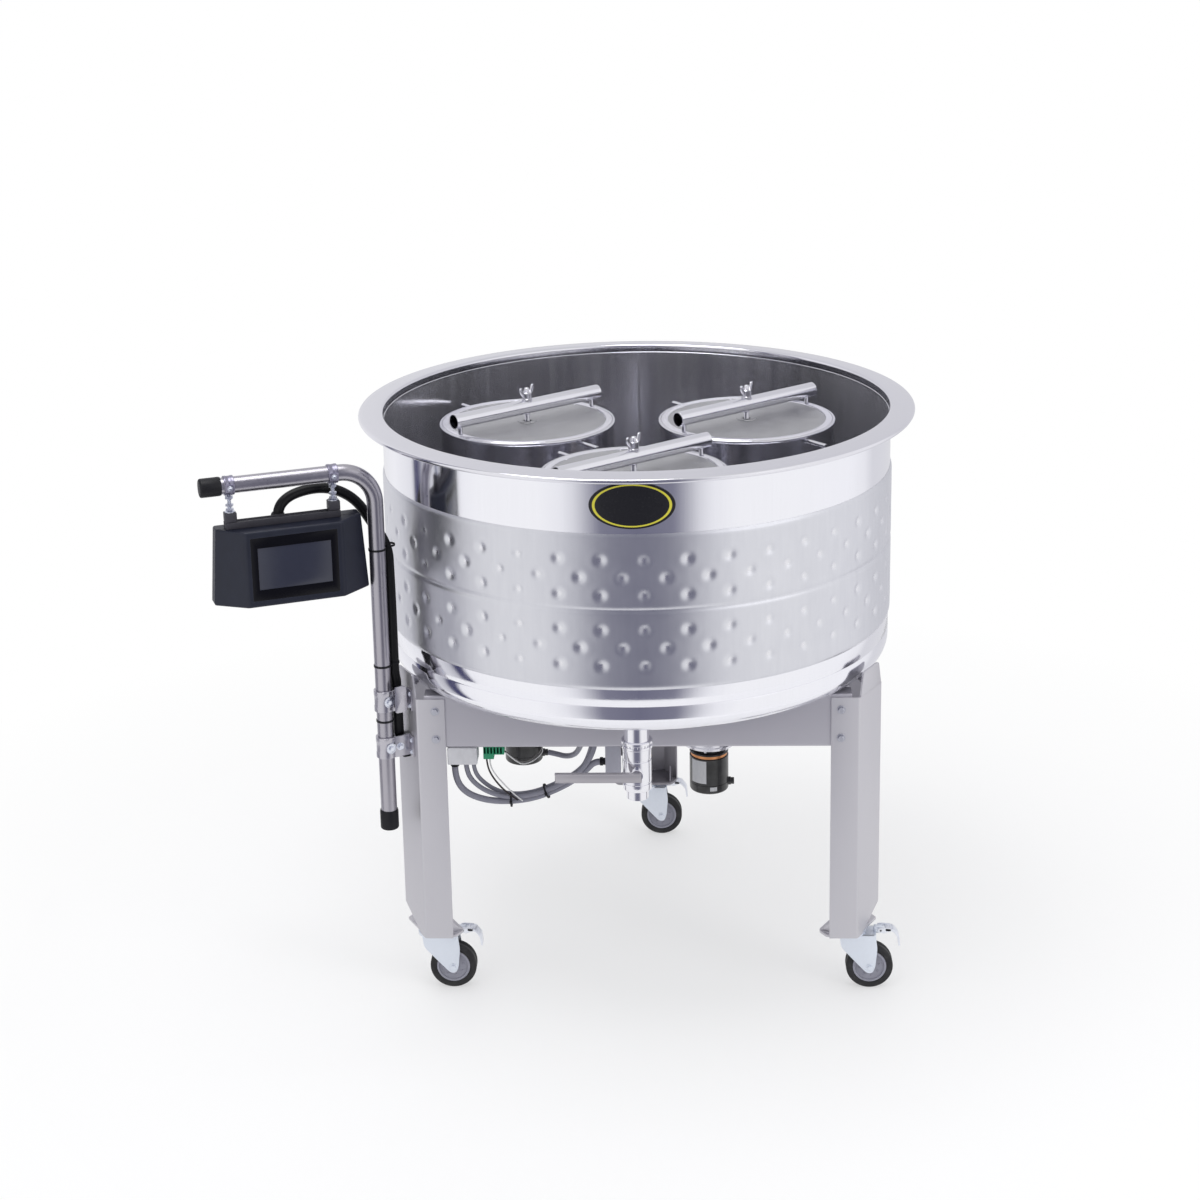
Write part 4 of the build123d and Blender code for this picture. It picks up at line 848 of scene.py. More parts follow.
# %% Hold-down bar with its feet, sleeve and saddle
BAR_R, BAR_BORE, BAR_HALF, BAR_Z = 0.016, 0.014, 0.196, 1.1886
tube_section = [(BAR_BORE, 0.0), (BAR_R - 0.0006, 0.0), (BAR_R, 0.0006), (BAR_R, 2 * BAR_HALF - 0.0006)]
tube_section += [(BAR_R - 0.0006, 2 * BAR_HALF), (BAR_BORE, 2 * BAR_HALF), (BAR_BORE, 0.0)]
across = Vector((math.cos(BAR_TURN), math.sin(BAR_TURN), 0))
cross_tube = bar("cross_tube", -across * BAR_HALF, across * BAR_HALF, tube_section, 48)
moved(cross_tube, (0, 0, BAR_Z))
feet = []
for side in (1, -1):
    foot = across * (side * 0.1792)
    section = [(0, 1.1586), (0.0042, 1.1586), (0.005, 1.1594), (0.005, 1.1735), (0.0062, 1.1752), (0, 1.176)]
    feet.append(turned("bar_foot", section, 20, (foot.x, foot.y, 0)))
saddle = [(ROD_HOLE, 1.2040), (ROD_HOLE, 1.2066), (0.0114, 1.2066), (0.012, 1.206), (0.012, 1.1985), (ROD_HOLE, 1.1985)]
saddle.append(saddle[0])
feet.append(turned("nut_saddle", saddle, 32))
cross_tube = join("cross_tube", cross_tube, *feet)

# %% Wing nut, and the threaded end of the centre rod
NUT_Z = 1.2069
hub = [(0.0063, NUT_Z), (0.0105, NUT_Z), (0.011, NUT_Z + 0.0008), (0.0102, NUT_Z + 0.0128), (0.0092, NUT_Z + 0.014)]
hub += [(0.0068, NUT_Z + 0.014), (0.0063, NUT_Z + 0.0132), (0.0063, NUT_Z)]
wing_hub = turned("wing_hub", hub, 32)
wings = []
for side in (1, -1):
    wing = [(0.008, 0.0025), (0.014, 0.0035), (0.021, 0.0105), (0.0255, 0.0165), (0.0275, 0.0225), (0.0262, 0.0268)]
    wing += [(0.0225, 0.0278), (0.0185, 0.0262), (0.0155, 0.0205), (0.012, 0.0145), (0.008, 0.0125)]
    corners = [(side * x, -0.0019, NUT_Z + z) for x, z in wing]
    wings.append(pressed("wing", corners, (0, 0.0038, 0), 0.0014, 3))
wing_nut = moved(join("wing_nut", wing_hub, *wings), turn=math.radians(60))
ROD_R, ROD_TOP = 0.006, 1.2306
rod_section = [(0, 0.694), (ROD_R, 0.694)] + threaded(ROD_R, 1.142, ROD_TOP - 0.0012, 0.00175)[1:-2]
rod_section += [(ROD_R - 0.0008, ROD_TOP - 0.0006), (ROD_R - 0.0016, ROD_TOP), (0, ROD_TOP)]
centre_rod = turned("centre_rod", rod_section, 20, sharp=30)
print("malt group faces", sum(len(obj.data.polygons) for obj in (pipe_wall, sieve_frame, sieve_plate, cross_tube)))

# %% Three groups in the kettle
PIPES = {"left": (-0.103021, 0.1385), "right": (0.376757, 0.1385), "front": (0.136868, -0.277)}
GROUP = {
    "pipe_wall": (pipe_wall, "pipe_", "malt_pipe_"),
    "sieve_frame": (sieve_frame, "sieve_body_", "sieve_"),
    "sieve_plate": (sieve_plate, "sieve_body_", None),
    "cross_tube": (cross_tube, "bar_", "hold_down_bar_"),
    "wing_nut": (wing_nut, "nut_", "wing_nut_"),
    "centre_rod": (centre_rod, None, "centre_rod_"),
}
placed = {name: [] for name in GROUP}
for place, (x, y) in PIPES.items():
    for name, (model, body, node) in GROUP.items():
        piece = copy_of(model, f"{name}_{place}", (x, y, 0))
        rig.ride(piece, body + place if body else "root")
        if node:
            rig.replaces(piece, node + place)
        placed[name].append(piece)
for model, body, node in GROUP.values():
    bpy.data.objects.remove(model)
print("malt pipes placed at", list(PIPES))

# %% [markdown]
# ## Steel for the malt pipes
#
# The pipes and bars are bright drawn tube, with streaks along their length. The sieve's plate is slotted so finely that
# it reads as a grey weave, so its finish has two crossed waves for the wires and paints the gaps nearly black: painted
# shade, for the dark space that the real slots show below them. The wave follows the metres of the real slots, which
# are about two millimetres apart.

# %% Tube, frame and mesh finishes
tube_steel = steel("tube_steel", (0.80, 0.80, 0.82), 0.16, 0.12, (1, 1, 0.2), 0.003, 0.00003, "steel_pipe")
tube_steel.on(*placed["cross_tube"], *placed["wing_nut"], *placed["centre_rod"])
frame_ring = steel("sieve_ring_steel", (0.84, 0.84, 0.86), 0.22, 0.14, (1, 1, 1), 0.004, 0.00003, "sieve_mesh")
frame_ring.on(*placed["sieve_frame"])
pipe_steel.on(*placed["pipe_wall"])
weave = Finish("fine_slots", (0.5, 0.5, 0.52), 0.42, 0.9, slot="sieve_mesh")
x, y = weave.axis("X") * (math.tau / 0.0021), weave.axis("Y") * (math.tau / 0.0034)
wires = (x.sin() * 0.5 + 0.5) * 0.65 + (y.sin() * 0.5 + 0.5) * 0.35
grime = weave.noise(0.03, detail=4)
wire_mask_gaps_painted_shade = wires.cut(0.16, 0.5)
# The gaps between the wires are painted nearly black, as painted shade for the space seen through the slots.
weave.set(**{"Base Color": weave.blend((0.05, 0.05, 0.055), (0.62, 0.62, 0.64), wire_mask_gaps_painted_shade * (0.75 + grime * 0.4))})
weave.set(Roughness=0.34 + grime * 0.2, Metallic=0.92)
weave.relief(wires, 0.0003).on(*placed["sieve_plate"])

# %% [markdown]
# ## The heating coil
#
# A ring of sheathed heating tube lies just above the kettle's floor, held by three clips. It is one turned ring
# joined to its clips, with the dull straw colour that hot steel takes.

# %% Ring and clips
COIL_R, COIL_Z, TUBE_R = 0.503, 0.736, 0.0065
coil = turned("heating_ring", arc(COIL_R, COIL_Z, TUBE_R, 0, 360, 16), 160, KETTLE, sharp=70)
clips = []
for angle in (210, 330, 90):
    inward, outward = COIL_R - 0.009, COIL_R + 0.009
    corners = [(inward, -0.0025, 0.6975), (outward, -0.0025, 0.6975), (outward, -0.0025, COIL_Z + 0.009)]
    corners += [(inward, -0.0025, COIL_Z + 0.009)]
    clips.append(moved(pressed("coil_clip", corners, (0, 0.005, 0), 0.001), (KETTLE_X, 0, 0), math.radians(angle)))
coil = join("heating_ring", coil, *clips)
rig.ride(coil, "root")
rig.replaces(coil, "heating_coil")
straw = steel("straw_steel", (0.42, 0.36, 0.27), 0.4, 0.2, (1, 1, 1), 0.006, 0.00005, "steel_pipe", 0.3)
straw.on(coil)

# %% [markdown]
# ## The frame
#
# Three legs are folded from sheet into half a hexagon, open towards the middle, and three channels bolt between
# their flanges under the kettle. Folded sheet is never sharp: outside it bends round about one and a half times
# its thickness. The outlines below therefore get a curve at each fold. One leg and one beam are made and then
# turned round the kettle's axis.

# %% Curved corners for an outline
def rounded(corners, trims, count=4):
    """Replace each corner of a closed outline by a curve that starts `trim` metres before it."""
    points = []
    for index, (corner, trim) in enumerate(zip(corners, trims)):
        corner = Vector(corner)
        if not trim:
            points.append(tuple(corner))
            continue
        before = corner + (Vector(corners[index - 1]) - corner).normalized() * trim
        after = corner + (Vector(corners[(index + 1) % len(corners)]) - corner).normalized() * trim
        for step in range(count + 1):
            t = step / count
            points.append(tuple(before * (1 - t) ** 2 + corner * 2 * t * (1 - t) + after * t**2))
    return points


def bolt_head(name, start, end, head_r=0.0065, head_h=0.0045, washer_r=0.009):
    """A washer and a hexagon head with a domed top, standing from start towards end."""
    washer = [(0, 0), (washer_r, 0), (washer_r, 0.0011), (washer_r - 0.0004, 0.0015), (0, 0.0015)]
    head = [(0, 0.0015), (head_r, 0.0015), (head_r, 0.0012 + head_h), (head_r * 0.78, 0.002 + head_h), (0, 0.002 + head_h)]
    return join(name, bar(name, start, end, washer, 28), bar(name, start, end, head, 6, sharp=20))


# %% One leg, made along +X and turned to its place
LEG_R, WEB, SHEET, LEG_LOW, LEG_TOP = 0.557, 0.0515, 0.004, 0.142, 0.685
fold_x, fold_y = 0.059 * math.cos(math.pi / 6), 0.0295
thin_x, thin_y = SHEET * 0.5, SHEET * math.cos(math.pi / 6)
inner_web = WEB - SHEET * math.tan(math.pi / 6)
leg_outline = [
    (LEG_R, WEB, 0), (LEG_R - fold_x, WEB + fold_y, 0), (LEG_R - fold_x - thin_x, WEB + fold_y - thin_y, 0),
    (LEG_R - SHEET, inner_web, 0), (LEG_R - SHEET, -inner_web, 0),
    (LEG_R - fold_x - thin_x, -WEB - fold_y + thin_y, 0), (LEG_R - fold_x, -WEB - fold_y, 0), (LEG_R, -WEB, 0),
]
leg_trims = [0.004, 0.0006, 0.0006, 0.0016, 0.0016, 0.0006, 0.0006, 0.004]


def folded_leg(name, cut_side):
    leg = pressed(name, [(x, y, LEG_LOW) for x, y, _ in rounded(leg_outline, leg_trims)], (0, 0, LEG_TOP - LEG_LOW), 0)
    activate(leg)
    bpy.ops.object.mode_set(mode="EDIT")
    bpy.ops.mesh.select_all(action="SELECT")
    bpy.ops.mesh.bisect(
        plane_co=(LEG_R, -cut_side * WEB, LEG_LOW + 0.046), plane_no=(0, cut_side * 0.49, 0.872),
        use_fill=True, clear_inner=True,
    )
    bpy.ops.mesh.select_all(action="DESELECT")
    bpy.ops.object.mode_set(mode="OBJECT")
    for edge in leg.data.edges:
        ends = [leg.data.vertices[index].co for index in edge.vertices]
        at_top = all(abs(end.z - LEG_TOP) < 1e-4 for end in ends)
        edge.select = at_top and all(end.x < LEG_R - fold_x + 0.0025 for end in ends) and edge_length(ends) > 0.0015
    bpy.ops.object.mode_set(mode="EDIT")
    bpy.ops.mesh.bevel(offset=0.012, segments=5)
    bpy.ops.object.mode_set(mode="OBJECT")
    ear = [(-WEB + 0.003, LEG_TOP - 0.001), (WEB - 0.003, LEG_TOP - 0.001), (0.036, 0.735), (-0.036, 0.735)]
    ear = rounded([(LEG_R - SHEET, y, z) for y, z in ear], [0, 0, 0.008, 0.008])
    return settle(join(name, leg, pressed("ear", ear, (SHEET, 0, 0), 0.0005), leg_foot()), 35)


def edge_length(ends):
    return (ends[0] - ends[1]).length


def leg_foot():
    """Foot plate inside the leg, with two small gussets, a weld along its front and the king pin."""
    inner, half, spread = LEG_R - SHEET, WEB - SHEET, 0.0551
    wide = half + spread * math.tan(math.pi / 6)
    reach, narrow = LEG_R - 0.084, wide - 0.014
    corners = [(inner, half), (inner - spread, wide), (reach, narrow), (reach, -narrow), (inner - spread, -wide)]
    corners = [(x, y, LEG_LOW) for x, y in corners + [(inner, -half)]]
    pieces = [pressed("foot_plate", rounded(corners, [0, 0.004, 0.008, 0.008, 0.004, 0]), (0, 0, 0.006), 0.0007)]
    low, near = LEG_LOW + 0.0058, reach + 0.004
    for side in (-1, 1):
        y = side * (narrow - 0.002) - 0.002
        rib = [(near, y, low), (near + 0.032, y, low), (near + 0.032, y, low + 0.032)]
        pieces.append(pressed("gusset", rounded(rib, [0.002, 0.001, 0.004]), (0, 0.004, 0), 0.0006))
        pieces.append(bead("foot_weld", (near + 0.018, y + side * 0.002, low), (0.03, 0.004, 0.003), 12))
    for y in (-0.02, 0.02):
        pieces.append(bead("web_weld", (inner - 0.0005, y, LEG_LOW + 0.006), (0.004, 0.03, 0.004), 12))
    pin = [(0, 0.1184), (0.0105, 0.1184), (0.011, 0.1189), (0.011, 0.1231), (0.006, 0.1233), (0.006, 0.148), (0, 0.148)]
    pieces.append(turned("king_pin", pin, 24, (LEG_R - 0.0417, 0, 0)))
    return join("leg_foot", *pieces)


LEG_ANGLES = {"left": 210, "right": 330, "rear": 90}
CUT_SIDES = {"left": 1, "right": -1, "rear": -1}
legs = {}
for place, angle in LEG_ANGLES.items():
    legs[place] = moved(folded_leg(f"folded_leg_{place}", CUT_SIDES[place]), (KETTLE_X, 0, 0), math.radians(angle))
    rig.ride(legs[place], "root")
    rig.replaces(legs[place], f"leg_{place}")
print("leg faces", len(legs["left"].data.polygons))

# %% Beams between the legs
FACE_Y, BEAM_LOW, BEAM_TOP, BEAM_HALF = -0.3191, 0.576, 0.691, 0.44003
beam_outline = [
    (FACE_Y, BEAM_LOW), (FACE_Y, BEAM_TOP), (FACE_Y + 0.040, BEAM_TOP), (FACE_Y + 0.040, BEAM_TOP - SHEET),
    (FACE_Y + SHEET, BEAM_TOP - SHEET), (FACE_Y + SHEET, BEAM_LOW + SHEET), (FACE_Y + 0.040, BEAM_LOW + SHEET),
    (FACE_Y + 0.040, BEAM_LOW),
]
beam_trims = [0.006, 0.006, 0.0006, 0.0006, 0.002, 0.002, 0.0006, 0.0006]
beam_corners = rounded([(-BEAM_HALF, y, z) for y, z in beam_outline], beam_trims)
channel = pressed("channel", beam_corners, (2 * BEAM_HALF, 0, 0), 0)
beams = {}
for place, angle in {"front": 0, "right": 120, "left": 240}.items():
    beams[place] = moved(copy_of(channel, f"channel_{place}"), (KETTLE_X, 0, 0), math.radians(angle))
bpy.data.objects.remove(channel)
gland = solid_bar("beam_gland", (0.016868, FACE_Y + 0.003, 0.606), (0.016868, FACE_Y + 0.016, 0.606), 0.009, 6)
beams["front"] = join("channel_front", beams["front"], gland)
for place, beam in beams.items():
    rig.ride(beam, "root")
    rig.replaces(beam, f"beam_{place}")

# %% Bolts through the flanges
bolts = []
for place, angle in (("front", 0), ("right", 120), ("left", 240)):
    for side in (-1, 1):
        for z in (0.659, 0.597):
            bolts.append(bolt_head("frame_bolt", (side * 0.418, -0.3231, z), (side * 0.418, -0.33, z)))
            moved(bolts[-1], (KETTLE_X, 0, 0), math.radians(angle))
frame_bolts = join("frame_bolts", *bolts)
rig.ride(frame_bolts, "root")

# %% [markdown]
# ## Brushed frame steel
#
# The frame is stainless sheet with a fine brushed grain that runs up the legs and along the beams. It scatters
# light widely, so it looks pale and even, with a soft change of tone from face to face. The grain is noise
# that is stretched a hundred times along the work, and weak wide clouds keep the large faces from being flat.

# %% Leg and beam finishes
def brushed(name, color, rough, stretch, metal=0.75):
    made = Finish(name, color, rough, metal, slot="frame_steel")
    lines = made.noise(0.0016, stretch, 4)
    clouds = made.noise(0.16, (1, 1, 0.5), 3)
    marks = made.noise(0.012, (1, 1, 1), 5)
    dark = tuple(c * 0.9 for c in color)
    made.set(**{"Base Color": made.blend(dark, color, lines * 0.55 + clouds * 0.45)})
    made.set(Roughness=rough + (lines - 0.5) * 0.14 + marks.cut(0.62, 0.8) * 0.08)
    return made.relief(lines, 0.00004)


leg_steel = brushed("leg_steel", (0.60, 0.59, 0.63), 0.44, (1, 1, 0.01))
leg_steel.on(legs["left"], legs["right"])
# The rear leg gets a darker copy of the same brushed steel: painted shade, for the shadow that it stands in under the
# kettle.
brushed("rear_leg_steel", (0.30, 0.29, 0.32), 0.5, (1, 1, 0.01)).on(legs["rear"])
beam_steel = brushed("beam_steel", (0.50, 0.49, 0.54), 0.46, (0.01, 0.02, 1))
beam_steel.on(*beams.values())
bolt_zinc = steel("bolt_zinc", (0.56, 0.57, 0.61), 0.34, 0.2, (1, 1, 1), 0.004, 0.00004, "zinc", 0.14)
bolt_zinc.on(frame_bolts)

# %% [markdown]
# ## The casters
#
# Each leg ends in a swivel caster with a brake pedal: a pressed and zinc-plated fork, a grey plastic wheel with
# a black rubber tyre, and an axle bolt. The fork's sides are drawn as outlines with curved corners, the race at
# the top and the wheel are turned. One caster is modelled with its swivel on the origin and copied three times,
# and each copy is split over the fork's body, the wheel's body and the pedal's body, so that all three move.

# %% Fork: race, deck, two sides and the axle bolt
TRAIL, WHEEL_R, FORK_LOW, FORK_TOP = 0.041, 0.050, 0.1237, 0.1417
race = [(0.0062, FORK_LOW), (0.0325, FORK_LOW), (0.033, FORK_LOW + 0.001), (0.033, FORK_LOW + 0.0065)]
race += [(0.0305, FORK_LOW + 0.008), (0.0305, FORK_LOW + 0.0105), (0.033, FORK_LOW + 0.012)]
race += arc(0.0295, FORK_TOP - 0.0038, 0.0035, 0, 90, 5) + [(0.0062, FORK_TOP - 0.0003), (0.0062, FORK_LOW)]
fork_pieces = [turned("race", race, 64)]
deck = [(-0.024, -0.0215), (0.054, -0.0215), (0.054, 0.0215), (-0.024, 0.0215)]
deck = rounded([(x, y, FORK_LOW) for x, y in deck], [0.01, 0.004, 0.004, 0.01])
fork_pieces.append(pressed("deck", deck, (0, 0, SHEET), 0.0012, 3))
side_outline = [
    (-0.024, FORK_LOW + 0.004), (0.054, FORK_LOW + 0.004), (0.054, FORK_LOW - 0.008), (0.057, FORK_LOW - 0.030),
    (0.0530, WHEEL_R + 0.002), (0.0470, WHEEL_R - 0.0130), (0.0350, WHEEL_R - 0.0130), (0.0170, WHEEL_R + 0.006),
    (-0.020, FORK_LOW - 0.026),
]
side_trims = [0.003, 0.002, 0.004, 0.008, 0.006, 0.006, 0.006, 0.010, 0.008]
for side in (-1, 1):
    y = side * 0.0185 if side > 0 else -0.0215
    corners = rounded([(x, y, z) for x, z in side_outline], side_trims)
    fork_pieces.append(pressed("fork_side", corners, (0, 0.003, 0), 0.0007))
    near, far = (TRAIL, side * 0.0210, WHEEL_R), (TRAIL, side * 0.0250, WHEEL_R)
    fork_pieces.append(bolt_head("axle_head", near, far, 0.0062, 0.0022, 0.009))
fork_pieces.append(solid_bar("axle", (TRAIL, -0.024, WHEEL_R), (TRAIL, 0.024, WHEEL_R), 0.005, 20))
fork_pieces.append(boxed("pedal_lug", (0.050, -0.0064, FORK_LOW), (0.0695, 0.0064, FORK_LOW + 0.0155), 0.002, 3))
fork = join("caster_fork", *fork_pieces)

# %% Tyre and hub
tyre_section = arc(WHEEL_R - 0.005, -0.011, 0.005, -90, 0, 6) + [(WHEEL_R, -0.004), (WHEEL_R - 0.0007, -0.003)]
tyre_section += [(WHEEL_R - 0.0007, 0.003), (WHEEL_R, 0.004)] + arc(WHEEL_R - 0.005, 0.011, 0.005, 0, 90, 6)
tyre_section += [(0.0385, 0.016), (0.0365, 0.0150), (0.036, 0.0140), (0.036, -0.0140), (0.0365, -0.0150)]
tyre_section += [(0.0385, -0.016), tyre_section[0]]
tyre = turned("caster_tyre", tyre_section, 96, (TRAIL, 0, WHEEL_R), "Y")
hub_section = [(0.0051, -0.0181), (0.0112, -0.0181), (0.012, -0.0173), (0.0125, -0.0115), (0.0150, -0.0110)]
hub_section += [(0.0285, -0.0110), (0.0305, -0.0122), (0.0312, -0.0150), (0.0355, -0.0150), (0.0359, -0.0140)]
hub_section += [(radius, -height) for radius, height in reversed(hub_section)] + [hub_section[0]]
hub = turned("caster_hub", hub_section, 72, (TRAIL, 0, WHEEL_R), "Y")
ribs = []
for side in (-1, 1):
    for k in range(8):
        turn = k * math.pi / 4 + 0.2
        middle = (TRAIL + 0.0215 * math.cos(turn), side * 0.0112, WHEEL_R + 0.0215 * math.sin(turn))
        ribs.append(bead("hub_rib", middle, (0.0042, 0.0036, 0.0042), 10))
hub = join("caster_hub", hub, *ribs)

# %% Brake pedal
pedal_pieces = []
ear = [(0.058, 0.005), (0.072, 0.002), (0.086, 0.008), (0.086, 0.014), (0.064, 0.016), (0.058, 0.014)]
for side in (-1, 1):
    y = 0.009 if side > 0 else -0.013
    corners = rounded([(x, y, FORK_LOW + z) for x, z in ear], [0.002, 0.004, 0.002, 0.002, 0.004, 0.002])
    pedal_pieces.append(pressed("pedal_ear", corners, (0, 0.004, 0), 0.0007))
tread = [(0.074, 0.014), (0.092, 0.012), (0.104, -0.004), (0.106, -0.026), (0.102, -0.026), (0.100, -0.006)]
tread += [(0.090, 0.007), (0.074, 0.008)]
corners = rounded([(x, -0.013, FORK_LOW + z) for x, z in tread], [0.002, 0.005, 0.006, 0.001, 0.001, 0.006, 0.005, 0.002])
pedal_pieces.append(pressed("pedal_tread", corners, (0, 0.026, 0), 0.0007))
for k in range(3):
    x, z = 0.0785 + k * 0.0055, FORK_LOW + 0.0137 - k * 0.0007
    pedal_pieces.append(solid_bar("grip_rib", (x, -0.0115, z), (x, 0.0115, z), 0.0009, 10, 0.0003))
pin_z = FORK_LOW + 0.009
pedal_pieces.append(solid_bar("pedal_pin", (0.064, -0.013, pin_z), (0.064, 0.013, pin_z), 0.003, 16))
pedal = join("caster_pedal", *pedal_pieces)

# %% Three casters on their own bodies
CASTERS = {"left": (-0.309395, -0.25765), "right": (0.583131, -0.25765), "rear": (0.136868, 0.5153)}
caster_sets = {"fork": [], "tyre": [], "hub": [], "pedal": []}
for place, (x, y) in CASTERS.items():
    for kind, model, body, node in (
        ("fork", fork, "caster_", "fork_"), ("tyre", tyre, "wheel_", "tyre_"),
        ("hub", hub, "wheel_", "wheel_hub_"), ("pedal", pedal, "brake_", "brake_pedal_"),
    ):
        piece = copy_of(model, f"caster_{kind}_{place}", (x, y, 0))
        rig.ride(piece, body + place)
        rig.replaces(piece, node + place)
        caster_sets[kind].append(piece)
for model in (fork, tyre, hub, pedal):
    bpy.data.objects.remove(model)
fork_zinc = steel("fork_zinc", (0.78, 0.83, 0.88), 0.34, 0.2, (1, 1, 1), 0.008, 0.00005, "zinc", 0.1)
fork_zinc.set(Metallic=0.72)
fork_zinc.on(*caster_sets["fork"])
steel("pedal_zinc", (0.84, 0.87, 0.9), 0.36, 0.18, (1, 1, 1), 0.006, 0.00005, "zinc", 0.08).on(*caster_sets["pedal"])

# %% Rubber and wheel plastic
rubber = Finish("tyre_rubber", (0.014, 0.014, 0.016), 0.62, slot="tyre")
scuff, dust = rubber.noise(0.0025, detail=5), rubber.noise(0.02, detail=3)
rubber.set(**{"Base Color": rubber.blend((0.009, 0.009, 0.011), (0.034, 0.033, 0.034), dust.cut(0.45, 0.8))})
rubber.set(Roughness=0.55 + scuff * 0.2)
rubber.relief(scuff, 0.00015).on(*caster_sets["tyre"])
hub_plastic = Finish("hub_plastic", (0.30, 0.30, 0.36), 0.42, slot="hub")
flow = hub_plastic.noise(0.006, detail=4)
hub_plastic.set(**{"Base Color": hub_plastic.blend((0.26, 0.26, 0.315), (0.34, 0.34, 0.40), flow)})
hub_plastic.set(Roughness=0.38 + flow * 0.12)
hub_plastic.relief(flow, 0.00008).on(*caster_sets["hub"])
print("casters placed at", list(CASTERS))

# %% [markdown]
# ## The outlet valve
#
# Under the front of the kettle a short welded pipe ends in a union, and below it hangs a full-bore ball valve
# with its spout. The body is chrome-bright and turned, with a knurled union ring. The lever is a thin
# channel of pressed steel on the stem, and stem and ball turn with it: the ball's bore is really cut, and it
# lies across the flow while the lever is level.

# %% Neck and union
VALVE = (KETTLE_X, -0.420, 0)
neck_section = [(0.019, 0.621), (0.031, 0.621), (0.032, 0.622), (0.032, 0.6265), (0.0305, 0.6275), (0.0305, 0.6305)]
neck_section += [(0.032, 0.6315), (0.032, 0.6365), (0.0305, 0.638), (0.0262, 0.638), (0.0255, 0.6395)]
neck_section += [(0.0255, 0.6895), (0.0268, 0.691), (0.019, 0.691), (0.019, 0.621)]
neck = turned("outlet_union", neck_section, 72, VALVE)
notches = []
for k in range(24):
    place = polar(0.0312, k * 15 + 4, 0.6290, VALVE)
    notches.append(bead("union_notch", place, (0.0016, 0.0016, 0.0120), 8))
neck = join("outlet_union", neck, *notches)
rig.ride(neck, "root")
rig.replaces(neck, "outlet_neck")

# %% Valve body with a round seat and a boss for the stem
body_section = [(0.019, 0.510), (0.0218, 0.510), (0.0225, 0.5107), (0.0225, 0.5285), (0.0236, 0.530)]
body_section += arc(0.0265, 0.533, 0.003, -90, 0, 5) + [(0.0295, 0.545), (0.0285, 0.546), (0.0285, 0.5485)]
body_section += [(0.0295, 0.5495), (0.0295, 0.5945), (0.0285, 0.5955), (0.0285, 0.598), (0.0295, 0.599)]
body_section += arc(0.0275, 0.619, 0.002, 0, 90, 4) + [(0.019, 0.621)]
seat = [(0.0248 * math.cos(a), 0.572 + 0.0248 * math.sin(a)) for a in np.linspace(math.radians(38), -math.radians(38), 15)]
body_section += [(0.019, 0.5883)] + seat + [(0.019, 0.5557), (0.019, 0.510)]
valve_body = turned("valve_barrel", body_section, 96, VALVE)
boss = [(0.0072, 0.0265), (0.0130, 0.0265), (0.0130, 0.0375), (0.0120, 0.0385), (0.0072, 0.0385), (0.0072, 0.0265)]
boss = bar("stem_boss", (KETTLE_X, -0.420, 0.572), (KETTLE_X, -0.43, 0.572), boss, 40)
stop = boxed("lever_stop", (KETTLE_X - 0.0285, -0.4360, 0.5400), (KETTLE_X - 0.0150, -0.4260, 0.5460), 0.001)
valve_body = join("valve_barrel", valve_body, boss, stop)
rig.ride(valve_body, "root")
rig.replaces(valve_body, "valve_body")

# %% Ball, stem and lever
clear_selection()
bpy.ops.mesh.primitive_uv_sphere_add(segments=64, ring_count=32, radius=0.0245, location=(KETTLE_X, -0.420, 0.572))
ball = bpy.context.object
bore = solid_bar("ball_bore", (KETTLE_X - 0.03, -0.420, 0.572), (KETTLE_X + 0.03, -0.420, 0.572), 0.016, 48, 0)
modify(ball, "BOOLEAN", object=bore, operation="DIFFERENCE", solver="EXACT")
bpy.data.objects.remove(bore)
settle(ball)
LEVER_Y, LEVER_FRONT, LEVER_Z = -0.4588, -0.4708, 0.572
stem = solid_bar("valve_stem", (KETTLE_X, -0.440, LEVER_Z), (KETTLE_X, LEVER_Y - 0.002, LEVER_Z), 0.007, 32)
half = 0.0095
channel_section = [
    (LEVER_FRONT, -half), (LEVER_Y, -half), (LEVER_Y, half), (LEVER_FRONT, half), (LEVER_FRONT, half - 0.003),
    (LEVER_Y - 0.003, half - 0.003), (LEVER_Y - 0.003, -half + 0.003), (LEVER_FRONT, -half + 0.003),
]
handle_corners = rounded([(KETTLE_X - 0.165, y, LEVER_Z + z) for y, z in channel_section],
                         [0.0005, 0.0035, 0.0035, 0.0005, 0.0005, 0.001, 0.001, 0.0005])
handle = pressed("lever_channel", handle_corners, (0.1745, 0, 0), 0)
grip = boxed("lever_face", (KETTLE_X - 0.1635, LEVER_FRONT, LEVER_Z - half + 0.0022),
             (KETTLE_X + 0.0085, LEVER_FRONT + 0.0042, LEVER_Z + half - 0.0022), 0.0012, 3)
rib = solid_bar("lever_rib", (KETTLE_X - 0.160, LEVER_FRONT + 0.0019, LEVER_Z + 0.0022),
                (KETTLE_X - 0.018, LEVER_FRONT + 0.0019, LEVER_Z + 0.0022), 0.0018, 16)
nut = bolt_head("stem_nut", (KETTLE_X, LEVER_FRONT + 0.0046, LEVER_Z), (KETTLE_X, LEVER_FRONT - 0.01, LEVER_Z),
                0.0055, 0.0022, 0.0072)
lever = join("valve_lever_set", ball, stem, handle, grip, rib, nut)
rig.ride(lever, "valve")
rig.replaces(lever, "valve_lever")
chrome = steel("valve_chrome", (0.86, 0.86, 0.87), 0.09, 0.07, (1, 1, 0.6), 0.006, 0.00003, "steel_polished")
chrome.on(neck, valve_body)
lever_steel = brushed("lever_steel", (0.52, 0.50, 0.53), 0.4, (0.02, 1, 1), 0.55)
lever_steel.slot = "steel_satin"
lever_steel.on(lever)
print("valve faces", len(valve_body.data.polygons), len(lever.data.polygons))

# %% [markdown]
# ## The circulation pumps
#
# Two pumps hang under the kettle. Each has an upright black motor, a neck and a round stainless volute with a
# suction pipe straight up to the kettle and a delivery pipe beside it. The motor is turned, with the joint of
# its end cap, cooling ribs and a cable gland, and carries plain pale foil plates.

